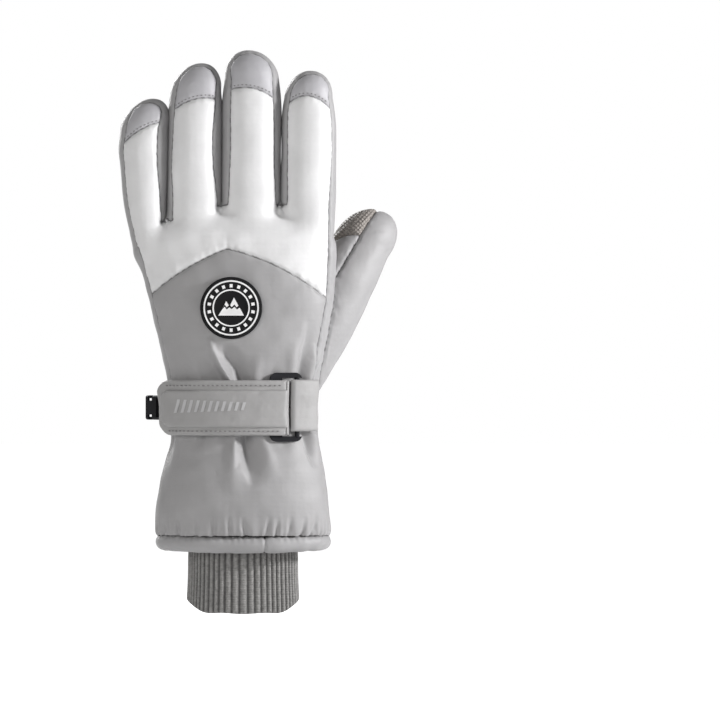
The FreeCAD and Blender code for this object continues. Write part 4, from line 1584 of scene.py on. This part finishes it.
# ---- materials
FINISHES = {                    # kind of surface, colour, roughness and sheen
    "shell_white": ("cloth", (0.80, 0.80, 0.802), 0.46, 0.25),
    "shell_grey": ("cloth", (0.375, 0.370, 0.373), 0.50, 0.25),
    "cap_grey": ("cloth", (0.49, 0.485, 0.505), 0.50, 0.25),
    "trim_grey": ("cloth", (0.385, 0.381, 0.385), 0.50, 0.25),
    "strap_grey": ("cloth", (0.385, 0.380, 0.378), 0.50, 0.15),
    "grip": ("grip", (0.345, 0.315, 0.290), 0.55, 0.0),
    "knit": ("knit", (0.275, 0.270, 0.262), 0.85, 0.30),
    "fleece": ("fuzz", (0.42, 0.42, 0.43), 0.9, 0.5),
    "padding": ("fuzz", (0.75, 0.75, 0.73), 0.9, 0.4),
    "elastic": ("ribbed", (0.50, 0.50, 0.50), 0.7, 0.1),
    "webbing": ("ribbed", (0.015, 0.015, 0.017), 0.7, 0.1),
    "hook_and_loop": ("fuzz", (0.20, 0.20, 0.21), 0.9, 0.3),
    "badge_black": ("moulded", (0.009, 0.009, 0.010), 0.62, 0.0),
    "badge_white": ("moulded", (0.72, 0.72, 0.72), 0.5, 0.0),
    "black_plastic": ("moulded", (0.009, 0.009, 0.011), 0.55, 0.0),
    "thread_grey": ("cloth", (0.24, 0.235, 0.235), 0.6, 0.10),
    "strap_print": ("moulded", (0.56, 0.56, 0.57), 0.5, 0.0),
}
MATERIALS = {}
WAVE_SCALE = 0.314              # a wave texture's scale times its pitch in metres
EDGE_SHADE = 0.6                # moulded faces against their worn edges


def grey(value):
    return (value, value, value, 1)


class Paint:
    """Builds one material's nodes."""

    def __init__(self, name, colour, roughness, sheen):
        self.material = bpy.data.materials.new(name)
        self.material.use_nodes = True
        self.tree = self.material.node_tree
        self.shader = self.tree.nodes["Principled BSDF"]
        self.shader.inputs["Roughness"].default_value = roughness
        self.shader.inputs["Sheen Weight"].default_value = sheen
        self.shader.inputs["Sheen Roughness"].default_value = 0.4
        self.colour = colour
        self.place = self.add("ShaderNodeTexCoord").outputs["Object"]
        self.bump = None

    def add(self, kind, inputs=None, **settings):
        """A node; each input gets a value, or a link when it is another node's output."""
        node = self.tree.nodes.new(kind)
        for key, value in settings.items():
            setattr(node, key, value)
        for key, value in (inputs or {}).items():
            if isinstance(value, bpy.types.NodeSocket):
                self.tree.links.new(value, node.inputs[key])
            else:
                node.inputs[key].default_value = value
        return node

    def noise(self, scale, detail=2.0):
        inputs = {"Scale": scale, "Detail": detail, "Vector": self.place}
        return self.add("ShaderNodeTexNoise", inputs).outputs["Fac"]

    def wave(self, direction, pitch, distortion=0.0):
        inputs = {"Scale": WAVE_SCALE / pitch, "Distortion": distortion, "Vector": self.place}
        return self.add("ShaderNodeTexWave", inputs, bands_direction=direction).outputs["Fac"]

    def attribute(self, name):
        return self.add("ShaderNodeAttribute", attribute_name=name).outputs["Fac"]

    def ramp(self, value, low, high, low_colour, high_colour):
        node = self.add("ShaderNodeValToRGB", {"Fac": value})
        first, second = node.color_ramp.elements
        first.position = low
        second.position = high
        first.color = low_colour
        second.color = high_colour
        return node.outputs["Color"]

    def shades(self, value, low, high, low_share, high_share, colour=None):
        """A ramp between two shades of the material's own colour."""
        colour = colour or self.colour
        ends = [(*[min(c * share, 1.0) for c in colour], 1) for share in (low_share, high_share)]
        return self.ramp(value, low, high, *ends)

    def blended(self, a, b, kind="MULTIPLY"):
        inputs = {"Factor": 1.0, "A": a, "B": b}
        return self.add("ShaderNodeMix", inputs, data_type="RGBA", blend_type=kind).outputs["Result"]

    def raise_by(self, value, distance, strength):
        """Adds a bump on top of those that are there."""
        inputs = {"Strength": strength, "Distance": distance, "Height": value}
        if self.bump is not None:
            inputs["Normal"] = self.bump
        self.bump = self.add("ShaderNodeBump", inputs).outputs["Normal"]

    def finish(self, colour):
        self.tree.links.new(colour, self.shader.inputs["Base Color"])
        self.tree.links.new(self.bump, self.shader.inputs["Normal"])
        return self.material


def cloth_paint(paint):
    """Coated plain weave: fine threads both ways, faint mottling and a dashed line of painted shade in each
    seam.
    """
    paint.raise_by(paint.wave("Z", 0.00062, 0.6), 0.0001, 0.30)
    paint.raise_by(paint.wave("X", 0.00058, 0.6), 0.0001, 0.30)
    paint.raise_by(paint.noise(260.0, 3.0), 0.0006, 0.22)
    colour = paint.shades(paint.noise(70.0, 4.0), 0.3, 0.7, 0.95, 1.04)
    # painted shade: the colour darkens within about 0.66 mm of a seam, standing in for the shadow in the
    # seam's groove
    dark = paint.ramp(paint.attribute("seam"), 0.12, 0.66, grey(0.30), grey(1))
    # breaks the painted seam shade into dashes, standing in for the shade between the puckers beside a seam
    gaps = paint.ramp(paint.wave("DIAGONAL", 0.0023), 0.35, 0.65, grey(0), grey(0.42))
    return paint.blended(colour, paint.blended(dark, gaps, "SCREEN"))


def grip_paint(paint):
    """Synthetic leather embossed with close rows of small domes, painted lighter on their tops and with
    painted shade between them.
    """
    split = paint.add("ShaderNodeSeparateXYZ", {0: paint.place})
    flat = paint.add("ShaderNodeCombineXYZ", {"X": split.outputs["X"], "Y": split.outputs["Z"]})
    eighth = (0, 0, math.radians(45))
    turned = paint.add("ShaderNodeMapping", {"Rotation": eighth, "Vector": flat.outputs[0]})
    inputs = {"Scale": 640.0, "Randomness": 0.18, "Vector": turned.outputs[0]}
    distance = paint.add("ShaderNodeTexVoronoi", inputs, voronoi_dimensions="2D").outputs["Distance"]
    paint.raise_by(paint.ramp(distance, 0.1, 0.62, grey(1), grey(0)), 0.0007, 0.75)
    paint.raise_by(paint.noise(900.0), 0.0002, 0.2)
    wear = paint.ramp(paint.noise(45.0, 3.0), 0.3, 0.75, grey(0.93), grey(1))
    # painted highlight and shade: the colour follows the domes' height, lighter on their tops and darker
    # between them; the wear mottling is random tone
    return paint.blended(paint.shades(distance, 0.25, 0.65, 1.12, 0.72), wear)


def knit_paint(paint):
    """Knitted yarn: small loops up each rib, in mixed light and dark fibres, and painted shade in the
    grooves between the ribs.
    """
    paint.raise_by(paint.wave("Z", 0.0012, 2.0), 0.0003, 0.4)
    paint.raise_by(paint.noise(900.0, 3.0), 0.0003, 0.5)
    fibres = paint.shades(paint.noise(620.0, 4.0), 0.3, 0.7, 0.78, 1.22)
    # painted shade: the colour darkens where the rib height kept in the 'seam' attribute is low, in the
    # grooves
    return paint.blended(fibres, paint.ramp(paint.attribute("seam"), 0.10, 0.62, grey(0.35), grey(1)))


def fuzz_paint(paint):
    """Brushed fibres."""
    paint.raise_by(paint.noise(500.0, 4.0), 0.0008, 0.6)
    paint.raise_by(paint.noise(120.0), 0.001, 0.3)
    return paint.shades(paint.noise(300.0, 4.0), 0.3, 0.7, 0.82, 1.1)


def ribbed_paint(paint):
    """Woven tape with ribs across it, painted lighter on their crests and with painted shade between them.
    """
    paint.raise_by(paint.wave("Z", 0.0011, 0.4), 0.0003, 0.7)
    paint.raise_by(paint.noise(700.0), 0.0002, 0.3)
    # painted highlight and shade: the colour follows the same wave as the ribs' bump, lighter on the crests
    # and darker in the hollows
    return paint.shades(paint.wave("Z", 0.0011, 0.4), 0.2, 0.8, 0.75, 1.15)


def moulded_paint(paint):
    """Moulded rubber or plastic: a fine grain, and edges worn a little paler."""
    paint.shader.inputs["Specular IOR Level"].default_value = 0.2
    paint.raise_by(paint.noise(1500.0), 0.0001, 0.25)
    worn = paint.add("ShaderNodeNewGeometry").outputs["Pointiness"]
    edge = paint.ramp(worn, 0.52, 0.62, grey(EDGE_SHADE), grey(1))
    brighter = [min(c / EDGE_SHADE, 1.0) for c in paint.colour]
    return paint.blended(paint.shades(paint.noise(90.0, 3.0), 0.3, 0.7, 0.88, 1.12, brighter), edge)


PAINTS = {"cloth": cloth_paint, "grip": grip_paint, "knit": knit_paint, "fuzz": fuzz_paint,
          "ribbed": ribbed_paint, "moulded": moulded_paint}


def material_of(slot):
    if slot not in MATERIALS:
        kind, colour, roughness, sheen = FINISHES[slot]
        paint = Paint(slot, colour, roughness, sheen)
        MATERIALS[slot] = paint.finish(PAINTS[kind](paint))
    return MATERIALS[slot]


def finish(piece, slot):
    piece.data.materials.clear()
    piece.data.materials.append(material_of(slot))


# ---- riding on the frame
SLOTS = {part["node"]: part["material_slot"] for part in frame["record"]["subparts"]}
BODY_OF = {"strap_fold": "strap_loop", "strap_flap": "strap_end", "strap_panel": "strap_end",
           "strap_hook_patch": "strap_end"}
MOVING_THUMB = ("thumb_back", "thumb_front", "thumb_grip_patch", "thumb_liner")


def ride_pieces():
    """Each piece stands for its CAD node, which it hides, and gets the node's material slot; finger and
    moving thumb pieces stay unattached, and the rest ride on a body.
    """
    for name, piece in PIECES.items():
        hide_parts(name)
        finish(piece, SLOTS[name])
        head = name.split("_")[0]
        if head in FINGERS:
            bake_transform(piece)
        elif name in MOVING_THUMB:
            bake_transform(piece)
        else:
            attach(piece, BODY_OF.get(name, "hand"))


ride_pieces()
for name in FINGERS:
    tip_stitches(name)
palm_stitches()
thumb_stitches()
strap_stitches()
strap_print()
for name, slot in SLOTS.items():
    if name not in PIECES:
        finish(frame["nodes"][name], slot)
